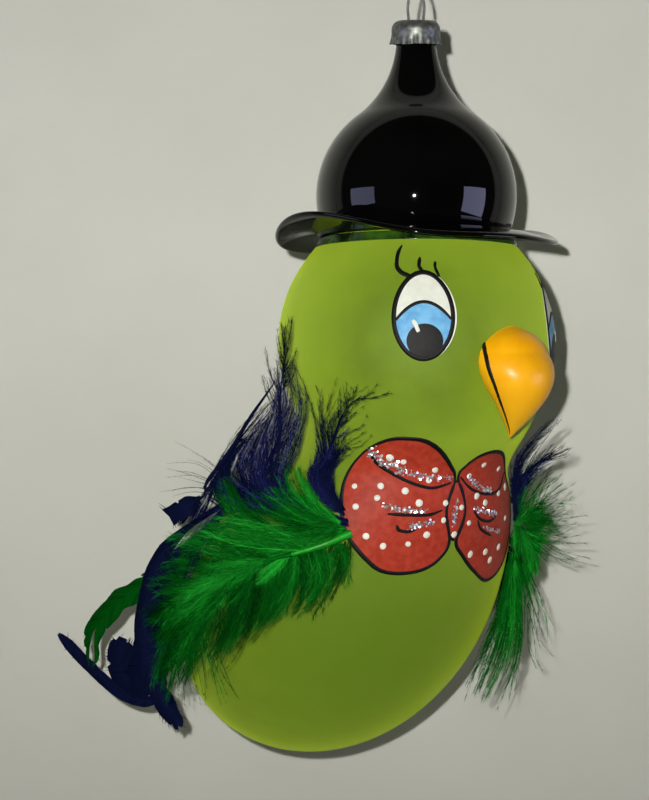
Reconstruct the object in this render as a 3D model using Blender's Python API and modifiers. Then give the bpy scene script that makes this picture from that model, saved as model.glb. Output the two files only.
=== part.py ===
"""Mouth-blown glass bird ornament in a bowler hat, hung by a crimped cap and a spring wire.

Sizes are millimetres here and become metres when a mesh is made. The origin is the inside of the
top of the hanging loop, +Z is up, and the bird faces -Y, so its right side lies towards -X.
"""

import math

import bmesh
import bpy
from mathutils import Matrix, Vector

MM = 0.001
GAP = 0.3  # clearance between pieces that touch

# Hanging wire: a loop above the cap, two legs that spring against the neck
WIRE_RADIUS = 0.35
LOOP_HALF_WIDTH = 1.85
LOOP_HEIGHT = 8.1  # cap top to the inside of the loop
LEG_LENGTH = 13.5  # below the cap top
LEG_SPLAY = 3.15  # half spread of the leg ends

# Crimped cap
CAP_RADIUS = 6.1
CAP_HEIGHT = 5.9
CAP_SHEET = 0.35
CAP_SHOULDER = 0.9
CAP_LIP_FLARE = 0.4
CAP_LIP_HEIGHT = 2.3
CAP_FLUTES = 20
CAP_FLUTE_DEPTH = 0.18
CAP_HOLE_CLEARANCE = 0.3
CAP_TURN = math.radians(-37.7)  # the holes lie on this line, seen from above

# Hat crown: a bulb drawn out into the neck
NECK_RADIUS = 4.9
NECK_FILLET = 25.0
CROWN_RADIUS = 25.0
CROWN_DEPTH = 43.5  # neck rim to the bulb's centre
CROWN_EDGE_DROP = 9.0  # bulb's centre to its lower edge
HAT_WALL = 1.0

# Hat brim: a ring that dips in front and curls up at the sides
BRIM_RADIUS = 35.2
BRIM_THICKNESS = 1.2
BRIM_DROP = 0.45
BRIM_NOD = 0.65
BRIM_CURL = 2.8
BRIM_KINK = 1.0
BRIM_SEAT_MARGIN = 1.4  # crown's inner edge to the head dome that it stands over
GLUE_BEAD_WIDTH = 1.5
GLUE_BEAD_DEPTH = 2.2

# Bird: a ball for the head and an egg for the body, blended at the neck
HEAD_RADIUS = 34.4
BODY_RADIUS = 41.0
BODY_RISE = 52.0
BODY_DROP = 42.5
BODY_BELOW_HEAD = 66.5
BODY_BACK = 30.5
BODY_LEAN = 0.44
BODY_CURVE = 0.0029
NECK_BLEND = 4
BIRD_WALL = 1.1
BLOW_HOLE_RADIUS = 6.0

# Beak: a drop that hooks down, seated on the head
BEAK_RADIUS = 8.8
BEAK_HEIGHT = 26.3
BEAK_ABOVE_HEAD = 2.9  # beak's top over the head's centre
BEAK_BULB = 0.62  # power that sets how near its top the beak is widest
BEAK_HOOK = 3.2
BEAK_SINK = 1.1  # how far the beak's axis lies inside the head's surface

# Feathers: shafts run along routes of (turn from the front, rise over the body centre, standoff)
QUILL_RADIUS = 0.9
FINE_QUILL_RADIUS = 0.6
GLUE_DAB_THICKNESS = 0.7
GLUE_DAB_RADIUS = 4.2

# Heights that follow from the sizes above
CAP_TOP = -LOOP_HEIGHT
NECK_TOP = CAP_TOP - CAP_SHEET - GAP
CROWN_Z = NECK_TOP - CROWN_DEPTH
CROWN_EDGE_Z = CROWN_Z - CROWN_EDGE_DROP
CROWN_EDGE_INNER = math.sqrt((CROWN_RADIUS - HAT_WALL) ** 2 - CROWN_EDGE_DROP ** 2)
HEAD_AT_EDGE = CROWN_EDGE_INNER - BRIM_SEAT_MARGIN
HEAD_Z = CROWN_EDGE_Z - math.sqrt(HEAD_RADIUS ** 2 - HEAD_AT_EDGE ** 2)
BRIM_TOP = CROWN_EDGE_Z - GAP
BRIM_BOTTOM = BRIM_TOP - BRIM_THICKNESS
BODY_Z = HEAD_Z - BODY_BELOW_HEAD
QUILL_SEAT = GAP + GLUE_DAB_THICKNESS + GAP + QUILL_RADIUS
VANE_SEAT = GAP + GLUE_DAB_THICKNESS + GAP + 0.4

WING_GLUE = (47.5, 23.2)
TAIL_GLUE = (138.0, 25.2)

# Marabou feathers: name, finish, quill radius, bare quill, half width, half thickness, route
WING_FEATHERS = (
    ("wing_green", "green", QUILL_RADIUS, 9.0, 13.0, 2.4,
     ((44.0, 20.8, QUILL_SEAT), (53.2, 17.1, 5.2), (64.8, 12.7, 8.2),
      (74.5, 6.1, 10.2), (85.0, -3.7, 11.0), (98.0, -12.5, 10.0))),
    ("wing_navy", "navy", FINE_QUILL_RADIUS, 4.0, 5.0, 1.4,
     ((50.0, 26.0, QUILL_SEAT), (57.5, 30.8, 3.4), (67.0, 36.7, 4.6),
      (72.0, 43.8, 5.6), (67.8, 49.7, 6.0), (60.0, 53.1, 6.5))),
    ("shoulder_navy", "navy", FINE_QUILL_RADIUS, 22.0, 7.0, 1.8,
     ((50.5, 23.4, QUILL_SEAT), (64.0, 25.6, QUILL_SEAT), (79.0, 29.0, 4.2), (92.0, 35.0, 7.0),
      (98.0, 43.5, 8.5), (94.0, 52.0, 9.0), (87.0, 60.0, 9.0), (86.0, 65.0, 9.0))),
)

# Stiff tail feathers: name, finish, half width, half thickness, route
TAIL_FEATHERS = (
    ("tail_pointed", "navy", 3.0, 0.6,
     ((134.5, 27.5, VANE_SEAT), (124.0, 16.0, 9.5), (124.0, -0.8, 9.8),
      (121.0, -14.2, 9.8), (117.2, -26.2, 10.4), (110.2, -33.7, 12.6))),
    ("tail_blunt", "navy", 3.0, 0.6,
     ((137.0, 25.4, VANE_SEAT), (128.0, 9.0, 6.6), (129.5, -6.8, 7.4), (130.0, -19.6, 12.3),
      (133.0, -24.3, 17.8), (137.9, -19.5, 20.3), (140.6, -15.1, 21.0))),
    ("tail_long", "navy", 2.0, 0.6,
     ((139.5, 23.2, VANE_SEAT), (133.0, 3.0, 3.8), (134.5, -14.0, 5.6), (133.0, -28.5, 13.5),
      (134.3, -29.0, 22.9), (138.1, -21.0, 30.5), (141.1, -12.9, 38.5))),
    ("tail_green", "green", 3.4, 0.6,
     ((142.0, 26.0, VANE_SEAT), (141.0, 12.0, 5.0), (137.0, 3.0, 12.5),
      (136.5, -1.5, 18.0), (137.6, -10.4, 25.5), (137.2, -20.1, 28.5))),
    ("neck_biot", "navy", 0.9, 0.45,
     ((138.5, 28.0, VANE_SEAT), (122.0, 31.5, 9.0), (109.0, 36.0, 15.0),
      (108.0, 44.0, 17.0), (101.0, 52.0, 15.5), (93.0, 56.5, 13.0))),
)

SIDES = (("right", 1.0), ("left", -1.0))

# Colour, roughness, metallic, transmission
FINISHES = {
    "green_glass": ((0.24, 0.32, 0.03), 0.45, 0.0, 0.3),
    "black_glass": ((0.004, 0.004, 0.004), 0.06, 0.0, 0.0),
    "yellow_enamel": ((0.87, 0.46, 0.02), 0.3, 0.0, 0.0),
    "glue": ((0.05, 0.09, 0.01), 0.25, 0.0, 0.0),
    "aluminium": ((0.5, 0.51, 0.46), 0.3, 1.0, 0.0),
    "steel": ((0.45, 0.45, 0.44), 0.3, 1.0, 0.0),
    "green": ((0.01, 0.14, 0.01), 0.7, 0.0, 0.0),
    "navy": ((0.006, 0.009, 0.035), 0.7, 0.0, 0.0),
}


def section(height):
    """Radius of the glass at a height, and how far back its centre lies."""
    head = ball(height, HEAD_Z, HEAD_RADIUS, HEAD_RADIUS, HEAD_RADIUS)
    body = ball(height, BODY_Z, BODY_RADIUS, BODY_RISE, BODY_DROP)
    total = head ** NECK_BLEND + body ** NECK_BLEND
    if total == 0.0:
        return 0.0, 0.0
    below = BODY_Z - height
    back = BODY_BACK + BODY_LEAN * below - BODY_CURVE * below ** 2
    return total ** (1 / NECK_BLEND), back * body ** NECK_BLEND / total


def ball(height, middle, radius, rise, drop):
    """Radius at a height of an egg with its own rise above and drop below its middle."""
    reach = rise if height > middle else drop
    share = (height - middle) / reach
    return radius * math.sqrt(max(0.0, 1.0 - share ** 2))


def on_glass(turn, rise, standoff, side=1.0):
    """Point that stands off the glass, turned from the front towards the bird's right."""
    height = BODY_Z + rise
    radius, back = section(height)
    angle = math.radians(turn) * side
    reach = radius + standoff
    return Vector((-math.sin(angle) * reach, back - math.cos(angle) * reach, height))


def standoff_of(point):
    """How far a point lies outside the glass, measured level."""
    radius, back = section(point.z)
    return math.hypot(point.x, point.y - back) - radius


def outward(point):
    """Direction in which a point leaves the glass soonest."""
    step = 0.5
    slopes = []
    for axis in (Vector((1, 0, 0)), Vector((0, 1, 0)), Vector((0, 0, 1))):
        slopes.append(standoff_of(point + axis * step) - standoff_of(point - axis * step))
    return Vector(slopes).normalized()


def smooth_route(points, steps):
    """Points spaced evenly by length along a curve through the given ones."""
    ends = [points[0] * 2 - points[1]] + list(points) + [points[-1] * 2 - points[-2]]
    fine = []
    for index in range(1, len(ends) - 2):
        before, start, end, after = ends[index - 1:index + 3]
        for part in range(12):
            t = part / 12
            fine.append(0.5 * (2 * start + (end - before) * t
                               + (2 * before - 5 * start + 4 * end - after) * t ** 2
                               + (3 * start - before - 3 * end + after) * t ** 3))
    fine.append(points[-1])
    lengths = [0.0]
    for start, end in zip(fine, fine[1:]):
        lengths.append(lengths[-1] + (end - start).length)
    return [point_at(fine, lengths, lengths[-1] * step / steps) for step in range(steps + 1)]


def point_at(points, lengths, distance):
    """Point a distance along a row of points."""
    for index in range(1, len(points)):
        if distance <= lengths[index] or index == len(points) - 1:
            span = max(lengths[index] - lengths[index - 1], 1e-9)
            share = min((distance - lengths[index - 1]) / span, 1.0)
            return points[index - 1].lerp(points[index], share)
    return points[-1]


def finish(name):
    """Material with one of the finishes."""
    existing = bpy.data.materials.get(name)
    if existing:
        return existing
    colour, roughness, metallic, transmission = FINISHES[name]
    material = bpy.data.materials.new(name)
    material.use_nodes = True
    shader = material.node_tree.nodes["Principled BSDF"]
    shader.inputs["Base Color"].default_value = (*colour, 1.0)
    shader.inputs["Roughness"].default_value = roughness
    shader.inputs["Metallic"].default_value = metallic
    shader.inputs["Transmission Weight"].default_value = transmission
    return material


def node(name, data, material, collection):
    """Object for one physical piece."""
    piece = bpy.data.objects.new(name, data)
    data.materials.append(finish(material))
    collection.objects.link(piece)
    return piece


def mesh_from(name, working):
    """Mesh in metres from a working mesh in millimetres, facing out."""
    bmesh.ops.recalc_face_normals(working, faces=working.faces)
    if working.calc_volume(signed=True) < 0.0:
        bmesh.ops.reverse_faces(working, faces=working.faces)
    bmesh.ops.scale(working, vec=(MM, MM, MM), verts=working.verts)
    mesh = bpy.data.meshes.new(name)
    working.to_mesh(mesh)
    working.free()
    return mesh


def spun(name, profile, segments, shape, closed=False):
    """Mesh of a profile of (radius, height) spun about Z, each point then moved by shape."""
    working = bmesh.new()
    points = [working.verts.new((radius, 0.0, height)) for radius, height in profile]
    pairs = list(zip(points, points[1:]))
    if closed:
        pairs.append((points[-1], points[0]))
    edges = [working.edges.new(pair) for pair in pairs]
    bmesh.ops.spin(working, geom=points + edges, cent=(0.0, 0.0, 0.0), axis=(0.0, 0.0, 1.0),
                   angle=math.tau, steps=segments, use_merge=True)
    bmesh.ops.remove_doubles(working, verts=working.verts, dist=0.001)
    for vertex in working.verts:
        vertex.co = shape(vertex.co)
    return mesh_from(name, working)


def turned(name, profile, material, collection, steps=36):
    """Piece turned about the Z axis from a closed profile of (radius, height)."""
    mesh = bpy.data.meshes.new(name)
    points = [(radius * MM, 0.0, height * MM) for radius, height in profile]
    count = len(points)
    mesh.from_pydata(points, [(index, (index + 1) % count) for index in range(count)], [])
    piece = node(name, mesh, material, collection)
    screw = piece.modifiers.new("turn", "SCREW")
    screw.steps = steps
    screw.render_steps = steps
    screw.use_merge_vertices = True
    screw.merge_threshold = 0.00005
    return piece


def tube(name, points, radii, material, collection):
    """Round wire or quill through points, with a radius at each."""
    curve = bpy.data.curves.new(name, "CURVE")
    curve.dimensions = "3D"
    curve.bevel_depth = MM
    curve.bevel_resolution = 1
    curve.resolution_u = 1
    curve.use_fill_caps = True
    spline = curve.splines.new("POLY")
    spline.points.add(len(points) - 1)
    for point, place, radius in zip(spline.points, points, radii):
        point.co = (*(place * MM), 1.0)
        point.radius = radius
    return node(name, curve, material, collection)


def vane(name, route, half_width, half_thickness, material, collection, blunt=0.6):
    """Closed leaf along a route, lying flat to the glass; a low blunt value rounds its ends."""
    working = bmesh.new()
    ball_mesh = bmesh.ops.create_uvsphere(working, u_segments=8, v_segments=14, radius=1.0)
    last = len(route) - 1
    for vertex in ball_mesh["verts"]:
        share = 1.0 - math.acos(max(-1.0, min(1.0, vertex.co.z))) / math.pi
        index = min(round(share * last), last)
        centre = route[index]
        along = (route[min(index + 1, last)] - route[max(index - 1, 0)]).normalized()
        normal = outward(centre)
        normal = (normal - along * normal.dot(along)).normalized()
        across = along.cross(normal)
        flat = Vector((vertex.co.x, vertex.co.y, 0.0))
        if flat.length > 1e-6:
            flat = flat.normalized() * math.sin(math.pi * share) ** blunt
        vertex.co = centre + across * (flat.x * half_width) + normal * (flat.y * half_thickness)
    return node(name, mesh_from(name, working), material, collection)


def cut(piece, tool_mesh, tools):
    """Cut a hidden tool out of a piece."""
    cutter = bpy.data.objects.new("cutter_" + piece.name, tool_mesh)
    cutter.hide_render = True
    cutter.display_type = "WIRE"
    tools.objects.link(cutter)
    modifier = piece.modifiers.new("cut", "BOOLEAN")
    modifier.operation = "DIFFERENCE"
    modifier.solver = "EXACT"
    modifier.object = cutter
    return cutter


def bird_side(offset, count):
    """Profile of the glass from its blow hole to its bottom, moved out by an offset."""
    top = HEAD_Z + math.sqrt(HEAD_RADIUS ** 2 - BLOW_HOLE_RADIUS ** 2)
    bottom = BODY_Z - BODY_DROP
    middle = (top + bottom) / 2
    half = (top - bottom) / 2
    points = []
    for step in range(count + 1):
        height = middle + half * math.cos(math.pi * step / count)
        radius = section(height)[0]
        if step < count:
            radius += offset
        points.append((radius, height + offset * (height - middle) / half))
    return points


def lean(point):
    """Move a level section of the glass back to its place."""
    return point + Vector((0.0, section(point.z)[1], 0.0))


def make_bird(collection):
    """Blown body: an outer skin and an inner one that meet at the blow hole under the hat."""
    outer = bird_side(0.0, 28)
    inner = bird_side(-BIRD_WALL, 16)
    mesh = spun("bird_body", outer[::-1] + inner, 36, lean)
    return node("bird_body", mesh, "green_glass", collection)


def bird_clearance(name):
    """Closed solid of the bird grown by the clearance, used as a cutter."""
    side = bird_side(GAP, 28)
    return spun(name, [(0.0, side[0][1])] + side, 36, lean)


def arc(centre, radius, start, end, count):
    """Points of an arc in a profile, with angles from the level line through its centre."""
    points = []
    for step in range(count + 1):
        angle = start + (end - start) * step / count
        points.append((centre[0] + radius * math.cos(angle), centre[1] + radius * math.sin(angle)))
    return points


def crown_side(wall, count):
    """Profile of the crown from the neck's rim to its lower edge, set in by a wall."""
    bulb = CROWN_RADIUS - wall
    fillet = NECK_FILLET + wall
    hollow_x = NECK_RADIUS + NECK_FILLET
    lift = math.sqrt((CROWN_RADIUS + NECK_FILLET) ** 2 - hollow_x ** 2)
    meet = math.atan2(lift, hollow_x)
    low = -math.asin(CROWN_EDGE_DROP / bulb)
    neck = arc((hollow_x, CROWN_Z + lift), fillet, math.pi, math.pi + meet, count)
    dome = arc((0.0, CROWN_Z), bulb, meet, low, count)
    return [(NECK_RADIUS - wall, NECK_TOP)] + neck + dome[1:]


def make_hat(collection):
    """Crown, brim and the bead of glue that holds them to the head."""
    outer = crown_side(0.0, 7)
    inner = crown_side(HAT_WALL, 5)
    turned("hat_crown", outer + inner[::-1], "black_glass", collection)

    inner_top = head_radius(BRIM_TOP) + GAP
    inner_bottom = head_radius(BRIM_BOTTOM) + GAP
    flat_to = inner_bottom + GLUE_BEAD_WIDTH + GAP
    middle = (BRIM_TOP + BRIM_BOTTOM) / 2
    between = (flat_to + BRIM_RADIUS) / 2
    rim = BRIM_RADIUS - BRIM_THICKNESS * 0.4
    profile = [(inner_top, BRIM_TOP), (flat_to, BRIM_TOP), (between, BRIM_TOP), (rim, BRIM_TOP),
               (BRIM_RADIUS, middle), (rim, BRIM_BOTTOM), (between, BRIM_BOTTOM),
               (flat_to, BRIM_BOTTOM), (inner_bottom, BRIM_BOTTOM)]

    def wave(point):
        """Lift a brim point to the bowler's curl."""
        share = max(0.0, (math.hypot(point.x, point.y) - flat_to) / (BRIM_RADIUS - flat_to))
        angle = math.atan2(-point.x, -point.y)
        curl = (-BRIM_DROP - BRIM_NOD * math.cos(angle) - BRIM_CURL * math.cos(2 * angle)
                + BRIM_KINK * math.cos(4 * angle))
        return point + Vector((0.0, 0.0, curl * share ** 1.5))

    brim = spun("hat_brim", profile, 48, wave, closed=True)
    node("hat_brim", brim, "black_glass", collection)

    bead_top = BRIM_BOTTOM - GAP
    bead_low = bead_top - GLUE_BEAD_DEPTH
    bead_middle = bead_top - GLUE_BEAD_DEPTH * 0.45
    bead = [(head_radius(bead_top) + GAP, bead_top),
            (head_radius(bead_top) + GAP + GLUE_BEAD_WIDTH * 0.8, bead_top),
            (head_radius(bead_middle) + GAP + GLUE_BEAD_WIDTH * 0.5, bead_middle),
            (head_radius(bead_low) + GAP + 0.15, bead_low),
            (head_radius(bead_middle) + GAP, bead_middle)]
    turned("hat_glue_bead", bead, "glue", collection)


def head_radius(height):
    """Radius of the head ball at a height."""
    return ball(height, HEAD_Z, HEAD_RADIUS, HEAD_RADIUS, HEAD_RADIUS)


def make_beak(collection, tools):
    """Hooked drop in the middle plane, its back cut to the head."""
    top = HEAD_Z + BEAK_ABOVE_HEAD
    stations = 16
    profile = []
    for step in range(stations + 1):
        share = 0.5 - 0.5 * math.cos(math.pi * step / stations)
        radius = BEAK_RADIUS * math.sin(math.pi * share ** BEAK_BULB)
        profile.append((max(radius, 0.0), top - BEAK_HEIGHT * share))
    profile[-1] = (0.0, top - BEAK_HEIGHT)

    def hook(point):
        """Carry a level section forward to the head's front and along the hook."""
        share = (top - point.z) / BEAK_HEIGHT
        bend = math.sin(math.pi * max(0.0, (share - 0.25) / 0.75))
        return point - Vector((0.0, HEAD_RADIUS - BEAK_SINK + BEAK_HOOK * bend, 0.0))

    beak = node("beak", spun("beak", profile, 20, hook), "yellow_enamel", collection)
    cut(beak, bird_clearance("beak_seat"), tools)


def make_cap(collection, tools):
    """Crimped cap with a fluted lip and two wire holes, its origin on its top."""
    lip_top = -(CAP_HEIGHT - CAP_LIP_HEIGHT)
    inner = CAP_RADIUS - CAP_SHEET
    lip = CAP_RADIUS + CAP_LIP_FLARE
    half = CAP_SHOULDER * 0.3
    profile = [(0.0, 0.0), (CAP_RADIUS - CAP_SHOULDER, 0.0), (CAP_RADIUS - half, -half),
               (CAP_RADIUS, -CAP_SHOULDER), (CAP_RADIUS, lip_top), (lip, -CAP_HEIGHT),
               (lip - CAP_SHEET, -CAP_HEIGHT), (inner, lip_top), (inner, -CAP_SHOULDER),
               (CAP_RADIUS - CAP_SHOULDER, -CAP_SHEET), (0.0, -CAP_SHEET)]

    def flute(point):
        """Push the lip in and out in flutes that grow towards its edge."""
        depth = max(0.0, (lip_top - point.z) / CAP_LIP_HEIGHT)
        push = CAP_FLUTE_DEPTH * depth * math.cos(CAP_FLUTES * math.atan2(point.y, point.x))
        flat = Vector((point.x, point.y, 0.0))
        return point + flat * (push / max(flat.length, WIRE_RADIUS))

    cap = node("cap", spun("cap", profile, CAP_FLUTES * 3, flute), "aluminium", collection)
    working = bmesh.new()
    for side in (-1.0, 1.0):
        bmesh.ops.create_cone(working, cap_ends=True, segments=16, depth=CAP_SHEET * 6,
                              radius1=WIRE_RADIUS + CAP_HOLE_CLEARANCE,
                              radius2=WIRE_RADIUS + CAP_HOLE_CLEARANCE,
                              matrix=Matrix.Translation((side * LOOP_HALF_WIDTH, 0.0, -CAP_SHEET / 2)))
    cutter = cut(cap, mesh_from("cap_holes", working), tools)
    for piece in (cap, cutter):
        piece.location = (0.0, 0.0, CAP_TOP * MM)
        piece.rotation_euler = (0.0, 0.0, CAP_TURN)


def make_hanger(collection):
    """Loop and spring legs in one wire, its origin on the line through the cap's holes."""
    hinge = CAP_TOP - CAP_SHEET / 2
    arch_z = WIRE_RADIUS - LOOP_HALF_WIDTH - hinge
    arch = [Vector((x, 0.0, z)) for x, z in arc((0.0, arch_z), LOOP_HALF_WIDTH, 0.0, math.pi, 10)]
    bulge = Vector((LOOP_HALF_WIDTH + 0.12, 0.0, arch_z * 0.5))
    shoulder = Vector((LOOP_HALF_WIDTH, 0.0, -1.6))
    tip = Vector((LEG_SPLAY, 0.0, CAP_TOP - LEG_LENGTH - hinge))
    right = [tip, tip.lerp(shoulder, 0.5), shoulder, Vector((LOOP_HALF_WIDTH, 0.0, 0.0)), bulge]
    left = [Vector((-point.x, point.y, point.z)) for point in right[::-1]]
    points = right + arch + left
    hanger = tube("hanger_wire", points, [WIRE_RADIUS] * len(points), "steel", collection)
    hanger.data.bevel_resolution = 2
    hanger.location = (0.0, 0.0, hinge * MM)
    hanger.rotation_euler = (0.0, 0.0, CAP_TURN)


def make_dab(name, place, side, collection):
    """Flat dab of glue on the glass under feather ends."""
    turn, rise = place
    level = GAP + GLUE_DAB_THICKNESS / 2
    radius = section(BODY_Z + rise)[0]
    spread = math.degrees(GLUE_DAB_RADIUS / radius)
    ends = [on_glass(turn + part * spread, rise, level, side) for part in (-1.0, 0.0, 1.0)]
    vane(name, smooth_route(ends, 26), GLUE_DAB_RADIUS, GLUE_DAB_THICKNESS / 2, "glue", collection, 0.5)


def make_wing(side_name, side, collection):
    """Marabou feathers of one wing: a bare quill, then the plume that grows from it."""
    make_dab(side_name + "_wing_glue", WING_GLUE, side, collection)
    for name, colour, quill, bare, half_width, half_thickness, stops in WING_FEATHERS:
        route = smooth_route([on_glass(*stop, side) for stop in stops], 120)
        step = (route[1] - route[0]).length
        first = max(round(bare / step), 3)
        quill_points = route[:first + 1:max(first // 5, 1)]
        radii = [quill * (1.0 - 0.35 * index / len(quill_points)) for index in range(len(quill_points))]
        title = side_name + "_" + name
        tube(title + "_quill", quill_points, radii, colour, collection)
        used = (len(quill_points) - 1) * max(first // 5, 1)
        plume = route[used + math.ceil(GAP / step):]
        vane(title + "_plume", plume, half_width, half_thickness, colour, collection)


def make_tail(side_name, side, collection):
    """Stiff feathers of one side of the tail, and the thin strand beside the neck."""
    make_dab(side_name + "_tail_glue", TAIL_GLUE, side, collection)
    for name, colour, half_width, half_thickness, stops in TAIL_FEATHERS:
        route = smooth_route([on_glass(*stop, side) for stop in stops], 120)
        vane(side_name + "_" + name, route, half_width, half_thickness, colour, collection, 0.4)


def main():
    """Clear the scene and build every piece."""
    for existing in list(bpy.data.objects):
        bpy.data.objects.remove(existing, do_unlink=True)
    collection = bpy.data.collections.new("bird_ornament")
    tools = bpy.data.collections.new("bird_ornament_cutters")
    bpy.context.scene.collection.children.link(collection)
    bpy.context.scene.collection.children.link(tools)
    make_hanger(collection)
    make_cap(collection, tools)
    make_hat(collection)
    make_bird(collection)
    make_beak(collection, tools)
    for side_name, side in SIDES:
        make_wing(side_name, side, collection)
        make_tail(side_name, side, collection)


main()
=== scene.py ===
"""Finished looks of a mouth-blown glass bird ornament with a bowler hat and dyed feathers.

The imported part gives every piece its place, and this script makes the surfaces the photo shows.
Sizes are millimetres and turn to metres when a mesh is made. Z is up, the bird faces -Y, its
right is -X, and the origin is the inside top of the hanging loop.
"""

import logging
import math
import random
from collections.abc import Callable, Sequence
from dataclasses import dataclass, replace
from enum import Enum

import bpy
import numpy as np
from mathutils import Matrix, Vector
from mathutils.geometry import delaunay_2d_cdt

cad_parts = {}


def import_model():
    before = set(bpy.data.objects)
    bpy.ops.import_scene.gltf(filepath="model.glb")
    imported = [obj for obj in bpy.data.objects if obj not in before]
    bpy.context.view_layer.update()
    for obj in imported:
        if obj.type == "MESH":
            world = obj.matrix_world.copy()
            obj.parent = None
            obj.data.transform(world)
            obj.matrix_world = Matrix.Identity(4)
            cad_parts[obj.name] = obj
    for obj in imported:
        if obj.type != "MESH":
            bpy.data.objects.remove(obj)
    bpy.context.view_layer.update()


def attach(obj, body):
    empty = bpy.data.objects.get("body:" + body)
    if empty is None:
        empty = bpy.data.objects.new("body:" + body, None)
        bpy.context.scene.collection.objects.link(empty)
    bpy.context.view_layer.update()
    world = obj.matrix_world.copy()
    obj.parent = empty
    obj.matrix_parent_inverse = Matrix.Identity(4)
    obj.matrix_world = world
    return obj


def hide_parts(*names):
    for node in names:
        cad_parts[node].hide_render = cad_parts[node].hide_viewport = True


LOG = logging.getLogger("bird_ornament")
MM = 0.001
WELD = 1e-6
CURVE_PARTS = 16

HEAD_Z = -88.612
BODY_Z = -155.112
CAP_TOP = -8.1
NECK_TOP = -8.75
CROWN_Z = -52.25
BRIM_TOP = -61.55
VIEW_TURN = math.radians(-37.7)

Tree = bpy.types.NodeTree
Socket = bpy.types.NodeSocket
Piece = bpy.types.Object
Rows = np.ndarray
Pair = tuple[float, float]
Path = Sequence[Pair]
Route = Sequence[tuple[float, float, float]]
Line = Sequence[Vector]
Shape = Callable[[Vector], Vector]


class Body(Enum):
    """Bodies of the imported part."""

    BIRD = "bird"
    CAP = "cap"
    HANGER = "hanger"


class Side(Enum):
    """Sides of the bird, each with the sign of a turn towards it."""

    RIGHT = 1.0
    LEFT = -1.0

    @property
    def word(self) -> str:
        """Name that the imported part's nodes start with."""
        return self.name.lower()

    @property
    def seed(self) -> int:
        """What a side adds to the start of random draws."""
        return 0 if self is Side.RIGHT else 1000


def linear(colour: str) -> tuple[float, float, float, float]:
    """Turn an sRGB hex colour into a linear one.

    Args:
        colour: six hex digits with a leading hash.

    Returns:
        Red, green, blue and a full alpha.
    """
    parts = [int(colour[start:start + 2], 16) / 255.0 for start in (1, 3, 5)]
    lit = [part / 12.92 if part <= 0.04045 else ((part + 0.055) / 1.055) ** 2.4 for part in parts]
    return (lit[0], lit[1], lit[2], 1.0)


def add(tree: Tree, kind: str, settings: dict[str | int, object] | None = None,
        feeds: Sequence[Socket] = (), **links: Socket) -> bpy.types.Node:
    """Add a node, set its values and link its inputs.

    Args:
        tree: node tree to add to.
        kind: type name of the node without its prefix.
        settings: inputs, by name or number, and properties with their values; "ramp" holds the stops
            of a colour ramp.
        feeds: sockets that feed the first inputs in order.
        **links: input names, with _ for a space, and the sockets that feed them.

    Returns:
        The new node.
    """
    node = tree.nodes.new("ShaderNode" + kind)
    for name, value in (settings or {}).items():
        if name == "ramp":
            stops = node.color_ramp.elements
            while len(stops) < len(value):
                stops.new(1.0)
            for stop, (place, colour) in zip(stops, value):
                stop.position = place
                stop.color = linear(colour)
        elif isinstance(name, int) or name in node.inputs:
            node.inputs[name].default_value = value
        else:
            setattr(node, name, value)
    for index, socket in enumerate(feeds):
        tree.links.new(socket, node.inputs[index])
    for name, socket in links.items():
        tree.links.new(socket, node.inputs[name.replace("_", " ")])
    return node


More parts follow.
